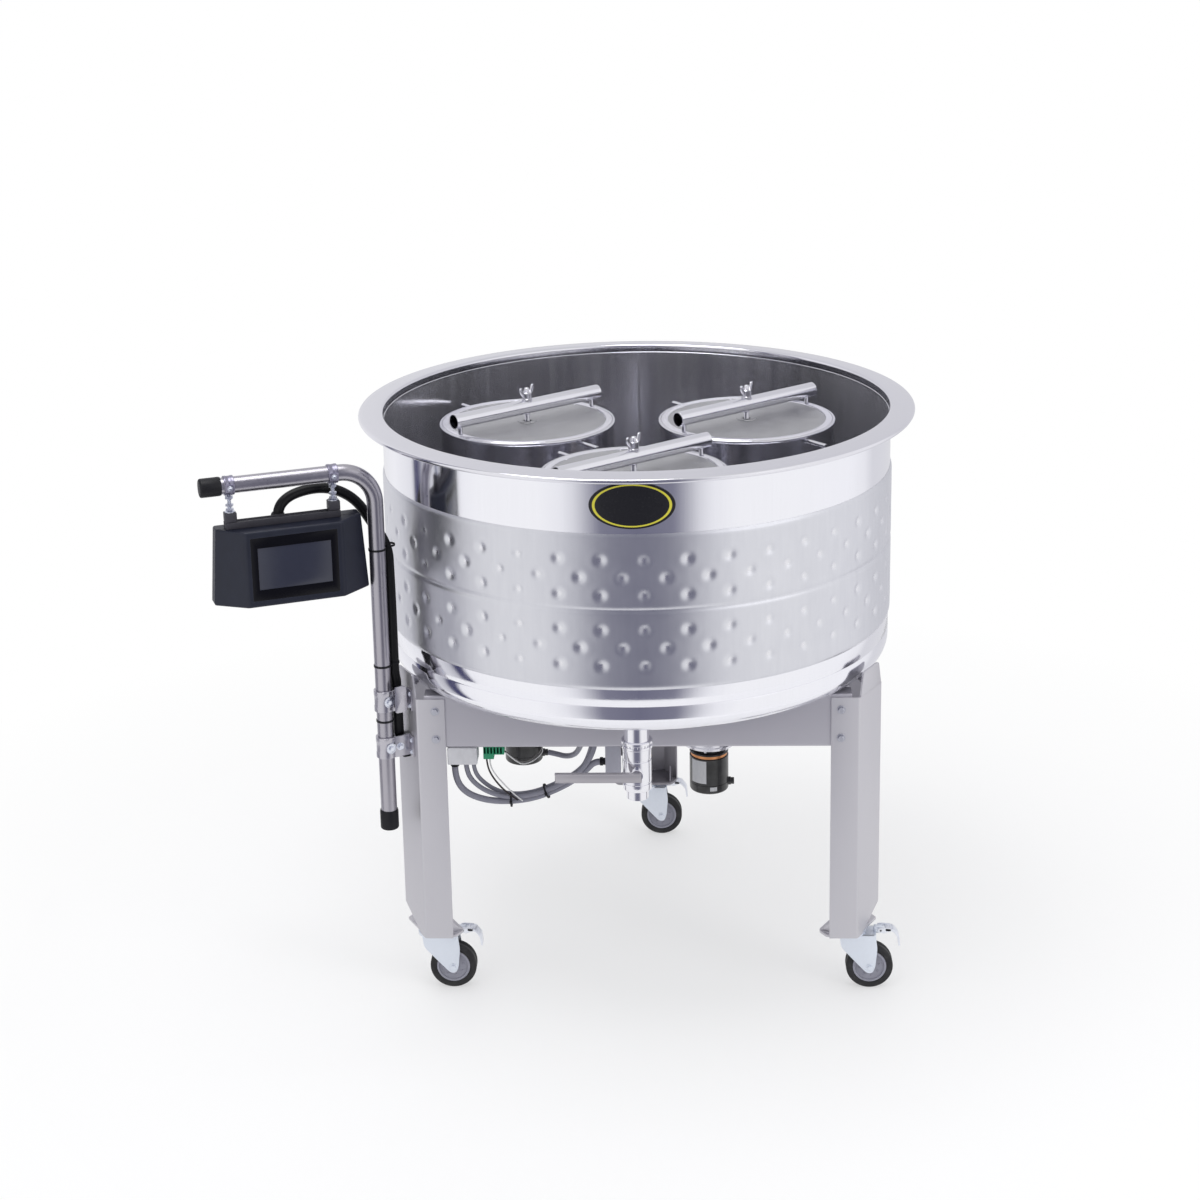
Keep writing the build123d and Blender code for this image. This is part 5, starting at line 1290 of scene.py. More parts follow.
# %% Pump parts round the origin
MOTOR_LOW, MOTOR_TOP = 0.389, 0.481
motor_section = [(0, MOTOR_LOW), (0.012, MOTOR_LOW), (0.0125, MOTOR_LOW + 0.0012), (0.018, MOTOR_LOW + 0.0012)]
motor_section += [(0.0185, MOTOR_LOW)] + arc(0.036, MOTOR_LOW + 0.006, 0.006, -90, 0, 8)
motor_section += [(0.042, MOTOR_LOW + 0.019), (0.0412, MOTOR_LOW + 0.0195), (0.0412, MOTOR_LOW + 0.0210)]
motor_section += [(0.042, MOTOR_LOW + 0.0215), (0.042, MOTOR_TOP - 0.012), (0.0395, MOTOR_TOP - 0.011)]
motor_section += [(0.0395, MOTOR_TOP - 0.0045), (0.042, MOTOR_TOP - 0.0035), (0.0415, MOTOR_TOP - 0.0004)]
motor_section += [(0.034, MOTOR_TOP), (0.034, 0.493), (0, 0.493)]
motor = turned("motor_can", motor_section, 96)
motor_gland = [(0, 0.036), (0.009, 0.036), (0.009, 0.0465), (0.0075, 0.0475), (0.0075, 0.0540), (0, 0.0540)]
gland_body = bar("motor_gland", (0, 0, 0.405), (1, 0, 0.405), motor_gland, 12)
motor = join("motor_can", motor, gland_body)

VOLUTE_LOW, VOLUTE_TOP, PUMP_PIPE, SIDE = 0.493, 0.535, 0.01685, 0.03815
volute_section = [(0, VOLUTE_LOW), (0.052, VOLUTE_LOW), (0.055, VOLUTE_LOW + 0.002), (0.055, VOLUTE_LOW + 0.007)]
volute_section += [(0.0525, VOLUTE_LOW + 0.009), (0.0525, VOLUTE_TOP - 0.012)]
volute_section += arc(0.0425, VOLUTE_TOP - 0.012, 0.010, 0, 80, 8) + [(0.021, VOLUTE_TOP - 0.0005), (0.021, VOLUTE_TOP)]
volute_section += [(PUMP_PIPE, VOLUTE_TOP), (PUMP_PIPE, 0.691), (0, 0.691)]
volute = turned("volute", volute_section, 96)
riser_x = 0.072
elbow = bpy.data.curves.new("delivery_pipe", "CURVE")
elbow.dimensions = "3D"
run = elbow.splines.new("NURBS")
pipe_points = [(0.0, SIDE, 0.514), (0.03, SIDE, 0.514), (0.06, SIDE, 0.514), (riser_x, SIDE, 0.514)]
pipe_points += [(riser_x, SIDE, 0.526), (riser_x, SIDE, 0.56), (riser_x, SIDE, 0.691)]
run.points.add(len(pipe_points) - 1)
for point, place in zip(run.points, pipe_points):
    point.co = (*place, 1)
run.order_u, run.use_endpoint_u, run.resolution_u = 3, True, 8
elbow.bevel_depth, elbow.bevel_resolution, elbow.use_fill_caps = PUMP_PIPE - 0.0003, 8, True
delivery = bpy.data.objects.new("delivery_pipe", elbow)
bpy.context.scene.collection.objects.link(delivery)
activate(delivery)
bpy.ops.object.convert(target="MESH")
delivery = settle(bpy.context.object)
unions = []
for x, y in ((0, 0), (riser_x, SIDE)):
    union = [(PUMP_PIPE - 0.001, 0.6025), (0.0208, 0.6025), (0.0215, 0.6035), (0.0215, 0.6215), (0.0208, 0.6225)]
    union += [(PUMP_PIPE - 0.001, 0.6225), (PUMP_PIPE - 0.001, 0.6025)]
    unions.append(turned("pipe_union", union, 8, (x, y, 0), sharp=20))
for k in range(6):
    head = polar(0.0465, k * 60 + 20, VOLUTE_LOW + 0.0, (0, 0))
    unions.append(bolt_head("volute_bolt", (head.x, head.y, VOLUTE_LOW), (head.x, head.y, 0.4), 0.0035, 0.0018, 0.0045))
pump = join("pump_volute", volute, delivery, *unions)

# %% Both pumps in place
PUMPS = {"left": (-0.126132, 0.060), "right": (0.286868, -0.100)}
motors, heads = [], []
for place, (x, y) in PUMPS.items():
    motors.append(copy_of(motor, f"motor_can_{place}", (x, y, 0)))
    heads.append(copy_of(pump, f"pump_volute_{place}", (x, y, 0)))
    for piece, node in ((motors[-1], f"pump_motor_{place}"), (heads[-1], f"pump_head_{place}")):
        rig.ride(piece, "root")
        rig.replaces(piece, node)
bpy.data.objects.remove(motor)
bpy.data.objects.remove(pump)
pipe_steel.on(*heads)


# %% Foil plates and the copper band
def wrapped(name, centre, radius, start, end, low, high, thick=0.0003):
    """A thin patch that lies on an upright cylinder between two directions in degrees."""
    clear_selection()
    bpy.ops.mesh.primitive_grid_add(x_subdivisions=16, y_subdivisions=2, size=1)
    obj = bpy.context.object
    obj.name = name
    for vertex in obj.data.vertices:
        turn = math.radians(start + (vertex.co.x + 0.5) * (end - start))
        z = low + (vertex.co.y + 0.5) * (high - low)
        vertex.co = (centre[0] + radius * math.cos(turn), centre[1] + radius * math.sin(turn), z)
    modify(obj, "SOLIDIFY", thickness=thick, offset=1.0)
    return settle(obj, 50)


right_x, right_y = PUMPS["right"]
label = wrapped("motor_label", (right_x, right_y), 0.0421, -150, -99, 0.4145, 0.4665, -0.0003)
small_label = wrapped("motor_tag", (right_x, right_y), 0.0421, -88, -67, 0.3975, 0.4065, -0.0003)
band = wrapped("copper_band", (right_x, right_y), 0.0397, -180, 0, 0.4706, 0.4762, -0.0006)
for piece in (label, small_label, band):
    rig.ride(piece, "root")
motor_black = Finish("motor_black", (0.010, 0.010, 0.011), 0.32, 0.0, 0.25, "motor")
cast = motor_black.noise(0.002, detail=5)
wear = motor_black.noise(0.02, detail=3)
motor_black.set(**{"Base Color": motor_black.blend((0.006, 0.006, 0.007), (0.03, 0.03, 0.033), wear.cut(0.4, 0.8))})
motor_black.set(Roughness=0.26 + cast * 0.2)
motor_black.relief(cast, 0.00015).on(*motors)
paper = Finish("label_foil", (0.52, 0.53, 0.55), 0.4, slot="motor")
fibre = paper.noise(0.003, (1, 1, 0.3), 4)
paper.set(**{"Base Color": paper.blend((0.44, 0.45, 0.48), (0.60, 0.60, 0.62), fibre), "Roughness": 0.34 + fibre * 0.14})
paper.relief(fibre, 0.00004).on(label, small_label)
copper = steel("copper_band", (0.72, 0.33, 0.14), 0.35, 0.2, (1, 1, 0.1), 0.003, 0.00005, "motor", 0.25)
copper.on(band)

# %% [markdown]
# ## Boxes and leads under the beam
#
# A pale junction box, a green plug-in terminal block and a grey sensor box hang under the front beam. Three
# grey cables and a pair of thin leads run between them in one loose loop, held by cable ties. Every cable is a
# NURBS curve with a few control points, so that it bends as evenly as a real one does.

# %% Junction box with its lid, screws and gland
BELOW_Y = -0.296
box_low, box_high = (-0.25910, BELOW_Y - 0.025, 0.538), (-0.19710, BELOW_Y + 0.025, 0.576)
base_low = (box_low[0], BELOW_Y - 0.0105, box_low[2])
case = boxed("junction_case", base_low, box_high, 0.004, 4)
lid = boxed("junction_lid", (box_low[0], box_low[1], box_low[2]), (box_high[0], BELOW_Y - 0.0115, 0.576), 0.003, 4)
seal = boxed("junction_seal", (box_low[0] + 0.002, BELOW_Y - 0.0125, 0.540), (box_high[0] - 0.002, BELOW_Y - 0.0095, 0.574), 0)
screws = []
for x in (box_low[0] + 0.007, box_high[0] - 0.007):
    for z in (0.545, 0.569):
        screws.append(bar("lid_screw", (x, BELOW_Y - 0.0249, z), (x, BELOW_Y - 0.1, z),
                          [(0, -0.001), (0.003, -0.001), (0.003, -0.0004), (0.0012, 0.0), (0.001, -0.001), (0, -0.001)], 16))
box_gland = [(0.0076, 0), (0.009, 0.0006), (0.009, 0.006), (0.0105, 0.0065), (0.0105, 0.0125), (0, 0.0125), (0, 0)]
entry = bar("junction_gland", (-0.2461, BELOW_Y, 0.5262), (-0.2461, BELOW_Y, 0.6), box_gland, 12, 20)
junction = join("junction_case", case, lid, seal)
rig.ride(junction, "root")
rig.replaces(junction, "junction_box")
junction_trim = join("junction_trim", entry, *screws)
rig.ride(junction_trim, "root")

# %% Green connector
plug_body = rounded([(-0.1851, 0.546), (-0.1631, 0.546), (-0.1631, 0.556), (-0.1411, 0.556), (-0.1411, 0.576),
                     (-0.1851, 0.576)], [0.0015, 0.001, 0.001, 0.0015, 0.001, 0.001])
connector = pressed("terminal_block", [(x, BELOW_Y - 0.0130, z) for x, z in plug_body], (0, 0.026, 0), 0.0006)
ribs = [boxed("terminal_rib", (-0.1838 + k * 0.0068, BELOW_Y - 0.0128, 0.558), (-0.1800 + k * 0.0068, BELOW_Y + 0.005, 0.5725), 0.0005)
        for k in range(6)]
connector.name = "terminal_block"
for rib in ribs:
    modify(connector, "BOOLEAN", object=moved(rib, (0, -0.0022, 0)), operation="DIFFERENCE", solver="EXACT")
    bpy.data.objects.remove(rib)
settle(connector, 30)
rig.ride(connector, "root")
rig.replaces(connector, "green_connector")

# %% Sensor box with its black plug
sensor_low, sensor_high = (0.0689, BELOW_Y - 0.015, 0.510), (0.1009, BELOW_Y + 0.015, 0.576)
outline = [(sensor_low[0], 0.510), (sensor_high[0], 0.510), (sensor_high[0], 0.576), (sensor_low[0], 0.576)]
outline = rounded([(x, sensor_low[1], z) for x, z in outline], [0.005, 0.005, 0.001, 0.001])
sensor = pressed("sensor_case", outline, (0, 0.030, 0), 0.0012, 3)
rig.ride(sensor, "root")
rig.replaces(sensor, "sensor_box")
plug_section = [(0.0, 0.0), (0.0078, 0.0), (0.009, 0.0012), (0.009, 0.0065), (0.0075, 0.0070), (0.0075, 0.0125), (0, 0.0125)]
sensor_plug = bar("sensor_plug", (0.0569, BELOW_Y, 0.5351), (0.1, BELOW_Y, 0.5351), plug_section, 10, 20)
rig.ride(sensor_plug, "root")
print("boxes under the beam ready")


# %% Cables as NURBS curves
CABLE_LINES = {}


def cable(name, points, radius, body="root"):
    """A round cable whose spline has the given points as its control points, made a mesh. Its own line is kept."""
    curve = bpy.data.curves.new(name, "CURVE")
    curve.dimensions = "3D"
    spline = curve.splines.new("NURBS")
    spline.points.add(len(points) - 1)
    for point, place in zip(spline.points, points):
        point.co = (*place, 1)
    spline.order_u, spline.use_endpoint_u, spline.resolution_u = 3, True, 10
    obj = bpy.data.objects.new(name, curve)
    bpy.context.scene.collection.objects.link(obj)
    bare = bpy.data.meshes.new_from_object(obj)
    CABLE_LINES[name] = [tuple(corner.co) for corner in bare.vertices]
    bpy.data.meshes.remove(bare)
    curve.bevel_depth, curve.bevel_resolution, curve.use_fill_caps = radius, 5, True
    activate(obj)
    bpy.ops.object.convert(target="MESH")
    tube = settle(bpy.context.object, 60)
    tube.name = name
    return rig.ride(tube, body) if body else tube


def declare(tube, length, diameter, stiffness="medium"):
    """Say that the tube is a cable of that real length, from the object back into the object."""
    line = CABLE_LINES[tube.name]
    long = sum(math.dist(a, b) for a, b in zip(line, line[1:]))
    print(tube.name, "is", round(long, 3), "m long")
    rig.cord(tube, exit=line[0], length=length, diameter=diameter, far_end="object", stiffness=stiffness, lay="hanging", path=line)


def tie(name, place, way, radius, body="root", width=0.004):
    """A cable tie round a bundle: a flat band with its square lock."""
    middle, step = Vector(place), Vector(way).normalized()
    start, end = middle - step * width / 2, middle + step * width / 2
    section = [(radius, 0), (radius + 0.0012, 0.0003), (radius + 0.0012, width - 0.0003), (radius, width), (radius, 0)]
    band = bar(name, start, end, section, 28)
    lock = boxed("tie_lock", (-0.003, -0.0022, -width * 0.7), (0.003, 0.0026, width * 0.7), 0.0006)
    lock.data.transform(step.to_track_quat("Z", "Y").to_matrix().to_4x4())
    side = step.cross(Vector((0, 0, 1))) if abs(step.z) < 0.9 else Vector((0.6, -0.8, 0))
    lock.data.transform(Matrix.Translation(middle + side.normalized() * (radius + 0.0022)))
    band = join(name, band, lock)
    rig.ride(band, body)
    return band


SUPPLY = [(-0.2461, 0.526), (-0.2461, 0.498), (-0.2261, 0.466), (-0.1841, 0.449), (-0.1341, 0.446), (-0.0801, 0.454)]
SUPPLY += [(-0.0321, 0.474), (0.0059, 0.496), (0.0309, 0.519), (0.0449, 0.5345), (0.0569, 0.5351)]
supply = cable("supply_cable", [(x, BELOW_Y - 0.002, z) for x, z in SUPPLY], 0.0068)
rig.replaces(supply, "supply_leads")
second = [(-0.2230, -0.296, 0.5385), (-0.2225, -0.296, 0.512), (-0.2060, -0.2975, 0.486), (-0.1740, -0.300, 0.4660)]
second += [(-0.1341, -0.3055, 0.4580), (-0.0821, -0.3055, 0.4640), (-0.0341, -0.3050, 0.4830), (0.0019, -0.3040, 0.504)]
second += [(0.0259, -0.3030, 0.5270), (0.0430, -0.3020, 0.555), (0.0480, -0.302, 0.5765)]
branch = cable("branch_cable", second, 0.0052)
third = [(-0.2080, -0.292, 0.5385), (-0.2075, -0.291, 0.515), (-0.1940, -0.288, 0.490), (-0.1640, -0.2860, 0.4660)]
third += [(-0.1261, -0.2845, 0.4560), (-0.0801, -0.2845, 0.4620), (-0.0341, -0.2850, 0.4820), (0.0059, -0.286, 0.505)]
third += [(0.0309, -0.287, 0.532), (0.0420, -0.2880, 0.5760)]
signal = cable("signal_cable", third, 0.0045)
dark_points = [(-0.1790, -0.302, 0.5465), (-0.1780, -0.303, 0.530), (-0.1700, -0.304, 0.508), (-0.1520, -0.3090, 0.485)]
dark_lead = cable("dark_lead", dark_points + [(-0.1300, -0.3130, 0.4660), (-0.1150, -0.3140, 0.4560)], 0.0019)
pale_points = [(-0.1720, -0.299, 0.5465), (-0.1730, -0.301, 0.532), (-0.1640, -0.303, 0.512), (-0.1430, -0.3080, 0.488)]
pale_lead = cable("pale_lead", pale_points + [(-0.1180, -0.3130, 0.4640), (-0.1050, -0.3135, 0.4540)], 0.0015)
jumper = [(-0.1425, -0.296, 0.5600), (-0.1330, -0.290, 0.5480), (-0.1220, -0.262, 0.5250), (-0.1130, -0.220, 0.5000)]
jumper += [(-0.0980, -0.150, 0.4760), (-0.0860, -0.050, 0.4480), (-0.0840, 0.020, 0.4300), (-0.0870, 0.0450, 0.4240)]
brown_jumper = cable("brown_jumper", jumper, 0.0016)
white_jumper = cable("white_jumper", [(x + 0.003, y - 0.001, z - 0.004) for x, y, z in jumper], 0.0014)
supply_ties = [
    tie("supply_tie_a", (-0.0560, -0.2965, 0.4690), (0.9, 0, 0.36), 0.0150),
    tie("supply_tie_b", (-0.1300, -0.2975, 0.4520), (1, 0, 0.02), 0.0160),
]

# %% Pump cable
motor_x, motor_y, motor_z = PUMPS["left"][0] + 0.054, PUMPS["left"][1], 0.405
steps = [(0, 0, 0), (0.018, 0, -0.004), (0.040, -0.006, -0.008), (0.062, -0.024, 0.004), (0.076, -0.052, 0.036)]
steps += [(0.082, -0.096, 0.078), (0.086, -0.150, 0.118), (0.089, -0.206, 0.154), (0.090, -0.262, 0.184)]
pump_points = [(motor_x + x, motor_y + y, motor_z + z) for x, y, z in steps]
pump_lead = cable("pump_lead", pump_points + [(0.016868, -0.2551, 0.606), (0.016868, -0.3031, 0.606)], 0.0062)
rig.replaces(pump_lead, "pump_cable")
declare(supply, 0.379, 0.0136)
declare(branch, 0.37, 0.0104)
declare(signal, 0.37, 0.0090)
declare(dark_lead, 0.12, 0.0038, "limp")
declare(pale_lead, 0.12, 0.0030, "limp")
declare(brown_jumper, 0.37, 0.0032, "limp")
declare(white_jumper, 0.37, 0.0028, "limp")
declare(pump_lead, 0.475, 0.0124)

# %% Plastics and cable sheaths
def plastic(name, color, rough=0.45, grain=0.0016, depth=0.00012, slot=None, lift=1.35, coat=0.0):
    """Moulded plastic: a fine even grain in its relief and faint flow marks in its colour."""
    made = Finish(name, color, rough, 0.0, coat, slot)
    texture, flow = made.noise(grain, detail=4), made.noise(0.018, (1, 1, 0.5), 3)
    made.set(**{"Base Color": made.blend(color, tuple(c * lift for c in color), flow)})
    made.set(Roughness=rough + (texture - 0.5) * 0.16 + (flow - 0.5) * 0.08)
    return made.relief(texture, depth)


pale_grey = plastic("pale_grey_plastic", (0.50, 0.50, 0.53), 0.48, slot="grey_box")
pale_grey.on(junction)
plastic("sensor_grey", (0.29, 0.29, 0.34), 0.45, slot="grey_box").on(sensor)
plastic("terminal_green", (0.005, 0.20, 0.095), 0.42, slot="green_plastic").on(connector)
grey_sheath = plastic("grey_sheath", (0.19, 0.19, 0.235), 0.42, 0.003, 0.00008, "grey_cable", 1.25)
grey_sheath.on(supply, branch, signal, pump_lead)
black_part = plastic("black_fitting", (0.005, 0.005, 0.007), 0.45, slot="black_plastic", lift=2.2)
black_part.set(**{"Specular IOR Level": 0.25})
black_part.on(junction_trim, sensor_plug, *supply_ties)
plastic("dark_wire", (0.016, 0.010, 0.010), 0.4, slot="black_cable").on(dark_lead, brown_jumper)
plastic("pale_wire", (0.55, 0.55, 0.56), 0.4, slot="grey_cable").on(pale_lead, white_jumper)

# %% [markdown]
# ## The mast and its arm
#
# The controller hangs from one steel tube that stands beside the left leg and is bent once into an arm. It is
# drawn as a ring that is extruded up, spun through the bend and extruded out along the arm, and then given its
# wall. Everything on it is made along +X from the mast's axis, turned to the arm's direction, and rides on the
# mast's body, so that it all swings together. Push-on caps of black plastic close both ends.

# %% Tube with one bend
MAST = Vector((-0.387943, -0.303, 0))
ARM_TURN, LEG_TURN = math.radians(201.5), math.radians(210)
MAST_R, MAST_LOW, ARM_Z, ARM_END, BEND = 0.01685, 0.392, 1.176, 0.352, 0.070


def on_mast(obj, turn=ARM_TURN):
    """Turn a piece made along +X from the mast's axis to its direction, and move it to the mast."""
    return moved(obj, MAST, turn)


clear_selection()
bpy.ops.mesh.primitive_circle_add(vertices=56, radius=MAST_R, location=(0, 0, MAST_LOW))
mast_pipe = bpy.context.object
mast_pipe.name = "mast_pipe"
bpy.ops.object.mode_set(mode="EDIT")
bpy.ops.mesh.select_all(action="SELECT")
bpy.ops.mesh.extrude_region_move(TRANSFORM_OT_translate={"value": (0, 0, ARM_Z - BEND - MAST_LOW)})
bpy.ops.mesh.spin(steps=28, angle=-math.pi / 2, center=(BEND, 0, ARM_Z - BEND), axis=(0, 1, 0))
bpy.ops.mesh.extrude_region_move(TRANSFORM_OT_translate={"value": (ARM_END - BEND, 0, 0)})
bpy.ops.mesh.select_all(action="SELECT")
bpy.ops.mesh.remove_doubles(threshold=1e-5)
bpy.ops.mesh.normals_make_consistent(inside=False)
bpy.ops.object.mode_set(mode="OBJECT")
settle(mast_pipe)
modify(mast_pipe, "SOLIDIFY", thickness=0.002, offset=-1.0)
on_mast(settle(mast_pipe, 50))
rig.ride(mast_pipe, "mast")
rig.replaces(mast_pipe, "mast_tube")

# %% Caps of both ends
CAP_R = MAST_R + 0.0025
cap_section = [(0, 0)] + arc(CAP_R - 0.004, 0.004, 0.004, -90, 0, 6)
cap_section += [(CAP_R, 0.0395), (CAP_R - 0.0005, 0.0405), (CAP_R - 0.0008, 0.0425), (MAST_R, 0.0425), (MAST_R, 0.0025)]
cap_section.append((0, 0.0025))
foot_cap = turned("foot_cap", cap_section, 56, (0, 0, MAST_LOW - 0.0025))
end_cap = bar("end_cap", (ARM_END + 0.0025, 0, ARM_Z), (0, 0, ARM_Z), cap_section, 56)
caps = on_mast(join("mast_caps", foot_cap, end_cap))
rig.ride(caps, "mast")
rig.replaces(caps, "tube_caps")
print("mast faces", len(mast_pipe.data.polygons))

# %% [markdown]
# ## The hanger
#
# Two pipe bands with zinc-plated screws grip the arm. From each a short threaded rod with nuts and washers goes
# down to a black block on a dark channel along the top of the control box. Nothing here is loose: the rods are
# what carries the box, so the nuts sit tight on both sides of each block.

# %% Bands, rods and nuts
BAR_LOW, BAR_TOP = 1.087, 1.101
bands, rods, blocks = [], [], []
for along in (0.086, 0.296):
    band = [(MAST_R, -0.010), (0.0190, -0.010), (0.0198, -0.0092), (0.0198, -0.0045), (0.0192, -0.0035), (0.0192, 0.0035)]
    band += [(0.0198, 0.0045), (0.0198, 0.0092), (0.0190, 0.010), (MAST_R, 0.010), (MAST_R, -0.010)]
    bands.append(bar("pipe_band", (along, 0, ARM_Z), (along + 1, 0, ARM_Z), band, 48))
    for side in (-1, 1):
        lug = boxed("band_lug", (along - 0.0095, side * 0.0185 - 0.0028, ARM_Z - 0.010),
                    (along + 0.0095, side * 0.0185 + 0.0028, ARM_Z + 0.006), 0.0012)
        bands.append(lug)
        screw_start, screw_end = (along, side * 0.0212, ARM_Z - 0.002), (along, side * 0.04, ARM_Z - 0.002)
        rods.append(bolt_head("band_screw", screw_start, screw_end, 0.0040, 0.0018, 0.0056))
    rods.append(turned("hanger_rod", threaded(0.004, BAR_TOP + 0.0195, ARM_Z - 0.0192, 0.00125, 0.0005), 18, (along, 0, 0)))
    for low, high in ((BAR_TOP + 0.0230, BAR_TOP + 0.0280), (BAR_TOP + 0.0320, BAR_TOP + 0.0370), (1.1480, 1.1545)):
        nut = [(0.0035, low), (0.0074, low), (0.0080, low + 0.0006), (0.0080, high - 0.0006), (0.0074, high), (0.0035, high)]
        rods.append(turned("hanger_nut", nut + [nut[0]], 6, (along, 0, 0), sharp=20))
    washer = [(0.0035, BAR_TOP + 0.0202), (0.0105, BAR_TOP + 0.0202), (0.0105, BAR_TOP + 0.0218), (0.0035, BAR_TOP + 0.0218)]
    rods.append(turned("hanger_washer", washer + [washer[0]], 32, (along, 0, 0)))
    blocks.append(boxed("hanger_block", (along - 0.012, -0.011, BAR_TOP), (along + 0.012, 0.011, BAR_TOP + 0.020), 0.0022, 3))
bands = on_mast(join("hanger_bands", *bands))
rods = on_mast(join("hanger_rods", *rods))
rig.ride(bands, "mast")
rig.ride(rods, "mast")

# %% Channel on top of the box
rail_outline = [(-0.011, BAR_LOW), (0.011, BAR_LOW), (0.011, BAR_TOP), (0.0085, BAR_TOP), (0.0085, BAR_TOP - 0.0030)]
rail_outline += [(-0.0085, BAR_TOP - 0.0030), (-0.0085, BAR_TOP), (-0.011, BAR_TOP)]
rail_corners = rounded([(0.074, y, z) for y, z in rail_outline], [0.001, 0.001, 0.0008, 0.0008, 0.001, 0.001, 0.0008, 0.0008])
rail = pressed("hanger_rail", rail_corners, (0.234, 0, 0), 0)
pads = [boxed("rail_pad", (x - 0.011, -0.0088, BAR_TOP - 0.0032), (x + 0.011, 0.0088, BAR_TOP + 0.0002), 0.0005)
        for x in (0.086, 0.296)]
rail = on_mast(join("hanger_rail", rail, *pads, *blocks))
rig.ride(rail, "mast")
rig.replaces(rail, "box_hanger")

# %% [markdown]
# ## The control box
#
# The housing is moulded in two halves. The rear one is a shallow tray, and the front one slopes in at both
# sides to a flat face with a recessed display. It is built ring by ring from eight corners at each depth, with
# a fine groove where the halves meet, and its edges are then rounded as moulding does. The display is one
# dark slate-coloured glass in a glossy black face.

# %% Two moulded halves
BOX_X, BOX_LOW, BOX_HIGH = 0.179, 0.929, 1.087


def box_ring(half_low, half_high, shrink, side):
    corners = [(-half_low + shrink, BOX_LOW + shrink), (half_low - shrink, BOX_LOW + shrink)]
    corners += [(half_high - shrink, BOX_HIGH - shrink), (-half_high + shrink, BOX_HIGH - shrink)]
    return [(BOX_X + x, side, z) for x, z in corners]


rings = [
    box_ring(0.159, 0.148, 0.0, -0.034), box_ring(0.159, 0.148, 0.0, -0.0022), box_ring(0.159, 0.148, 0.0014, -0.0016),
    box_ring(0.159, 0.148, 0.0014, -0.0004), box_ring(0.159, 0.148, 0.0, 0.0002), box_ring(0.099, 0.099, 0.0, 0.045),
]
shape = bmesh.new()
made_rings = [[shape.verts.new(corner) for corner in ring] for ring in rings]
for first, second in zip(made_rings, made_rings[1:]):
    for k in range(4):
        shape.faces.new((first[k], first[(k + 1) % 4], second[(k + 1) % 4], second[k]))
shape.faces.new(made_rings[0][::-1])
shape.faces.new(made_rings[-1])
bmesh.ops.recalc_face_normals(shape, faces=shape.faces)
housing_mesh = bpy.data.meshes.new("control_housing")
shape.to_mesh(housing_mesh)
shape.free()
housing = bpy.data.objects.new("control_housing", housing_mesh)
bpy.context.scene.collection.objects.link(housing)
settle(housing)
activate(housing)
bpy.ops.object.mode_set(mode="EDIT")
bpy.ops.mesh.select_mode(type="EDGE")
bpy.ops.mesh.select_all(action="DESELECT")
bpy.ops.object.mode_set(mode="OBJECT")
for edge in housing.data.edges:
    ends = [housing.data.vertices[index].co for index in edge.vertices]
    middle = (ends[0] + ends[1]) / 2
    edge.select = middle.y > 0.02 or middle.y < -0.0335 or (abs(ends[0].y - ends[1].y) > 0.02)
bpy.ops.object.mode_set(mode="EDIT")
bpy.ops.mesh.bevel(offset=0.0045, segments=4)
bpy.ops.mesh.select_mode(type="VERT")
bpy.ops.object.mode_set(mode="OBJECT")
face_recess = boxed("face_recess", (BOX_X - 0.090, 0.0440, BOX_LOW + 0.012), (BOX_X + 0.090, 0.0500, BOX_HIGH - 0.012), 0.003)
modify(housing, "BOOLEAN", object=face_recess, operation="DIFFERENCE", solver="EXACT")
bpy.data.objects.remove(face_recess)
window = boxed("window_recess", (BOX_X - 0.0750, 0.0425, 0.9640), (BOX_X + 0.0750, 0.0500, 1.0520), 0.0)
modify(housing, "BOOLEAN", object=window, operation="DIFFERENCE", solver="EXACT")
bpy.data.objects.remove(window)
on_mast(settle(housing, 35))
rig.ride(housing, "mast")
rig.replaces(housing, "control_box")
glass = boxed("display_glass", (BOX_X - 0.0746, 0.0420, 0.9644), (BOX_X + 0.0746, 0.0436, 1.0516), 0.0004)
on_mast(glass)
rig.ride(glass, "mast")
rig.replaces(glass, "display")
bezel = boxed("face_bezel", (BOX_X - 0.0895, 0.0436, BOX_LOW + 0.0125), (BOX_X + 0.0895, 0.0446, BOX_HIGH - 0.0125), 0.0004)
opening = boxed("bezel_opening", (BOX_X - 0.0750, 0.0400, 0.9640), (BOX_X + 0.0750, 0.0500, 1.0520), 0.0)
modify(bezel, "BOOLEAN", object=opening, operation="DIFFERENCE", solver="EXACT")
bpy.data.objects.remove(opening)
on_mast(settle(bezel, 30))
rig.ride(bezel, "mast")
cable_gland = [(0, -0.001), (0.0150, -0.001), (0.0155, 0.004), (0.0140, 0.0055), (0.0140, 0.0120), (0.0120, 0.0150), (0, 0.0150)]
socket = on_mast(turned("cable_gland", cable_gland, 10, (0.196, -0.022, BOX_HIGH), sharp=20))
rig.ride(socket, "mast")
print("housing faces", len(housing.data.polygons))

# %% [markdown]
# ## The control cable
#
# A thick black cable leaves the top of the box, goes over in a loop and runs down beside the mast, where ties
# hold it, past the clamps and into a hood on the leg. The mast swings and the leg doesn't, so the cable twists a
# little between its last tie and the clamps. It is one tube, blended from the mast's body to the frame over
# that stretch.

# %% One cable from box to hood
def mast_point(along, side, z):
    turn = ARM_TURN
    x = MAST.x + along * math.cos(turn) - side * math.sin(turn)
    return (x, MAST.y + along * math.sin(turn) + side * math.cos(turn), z)


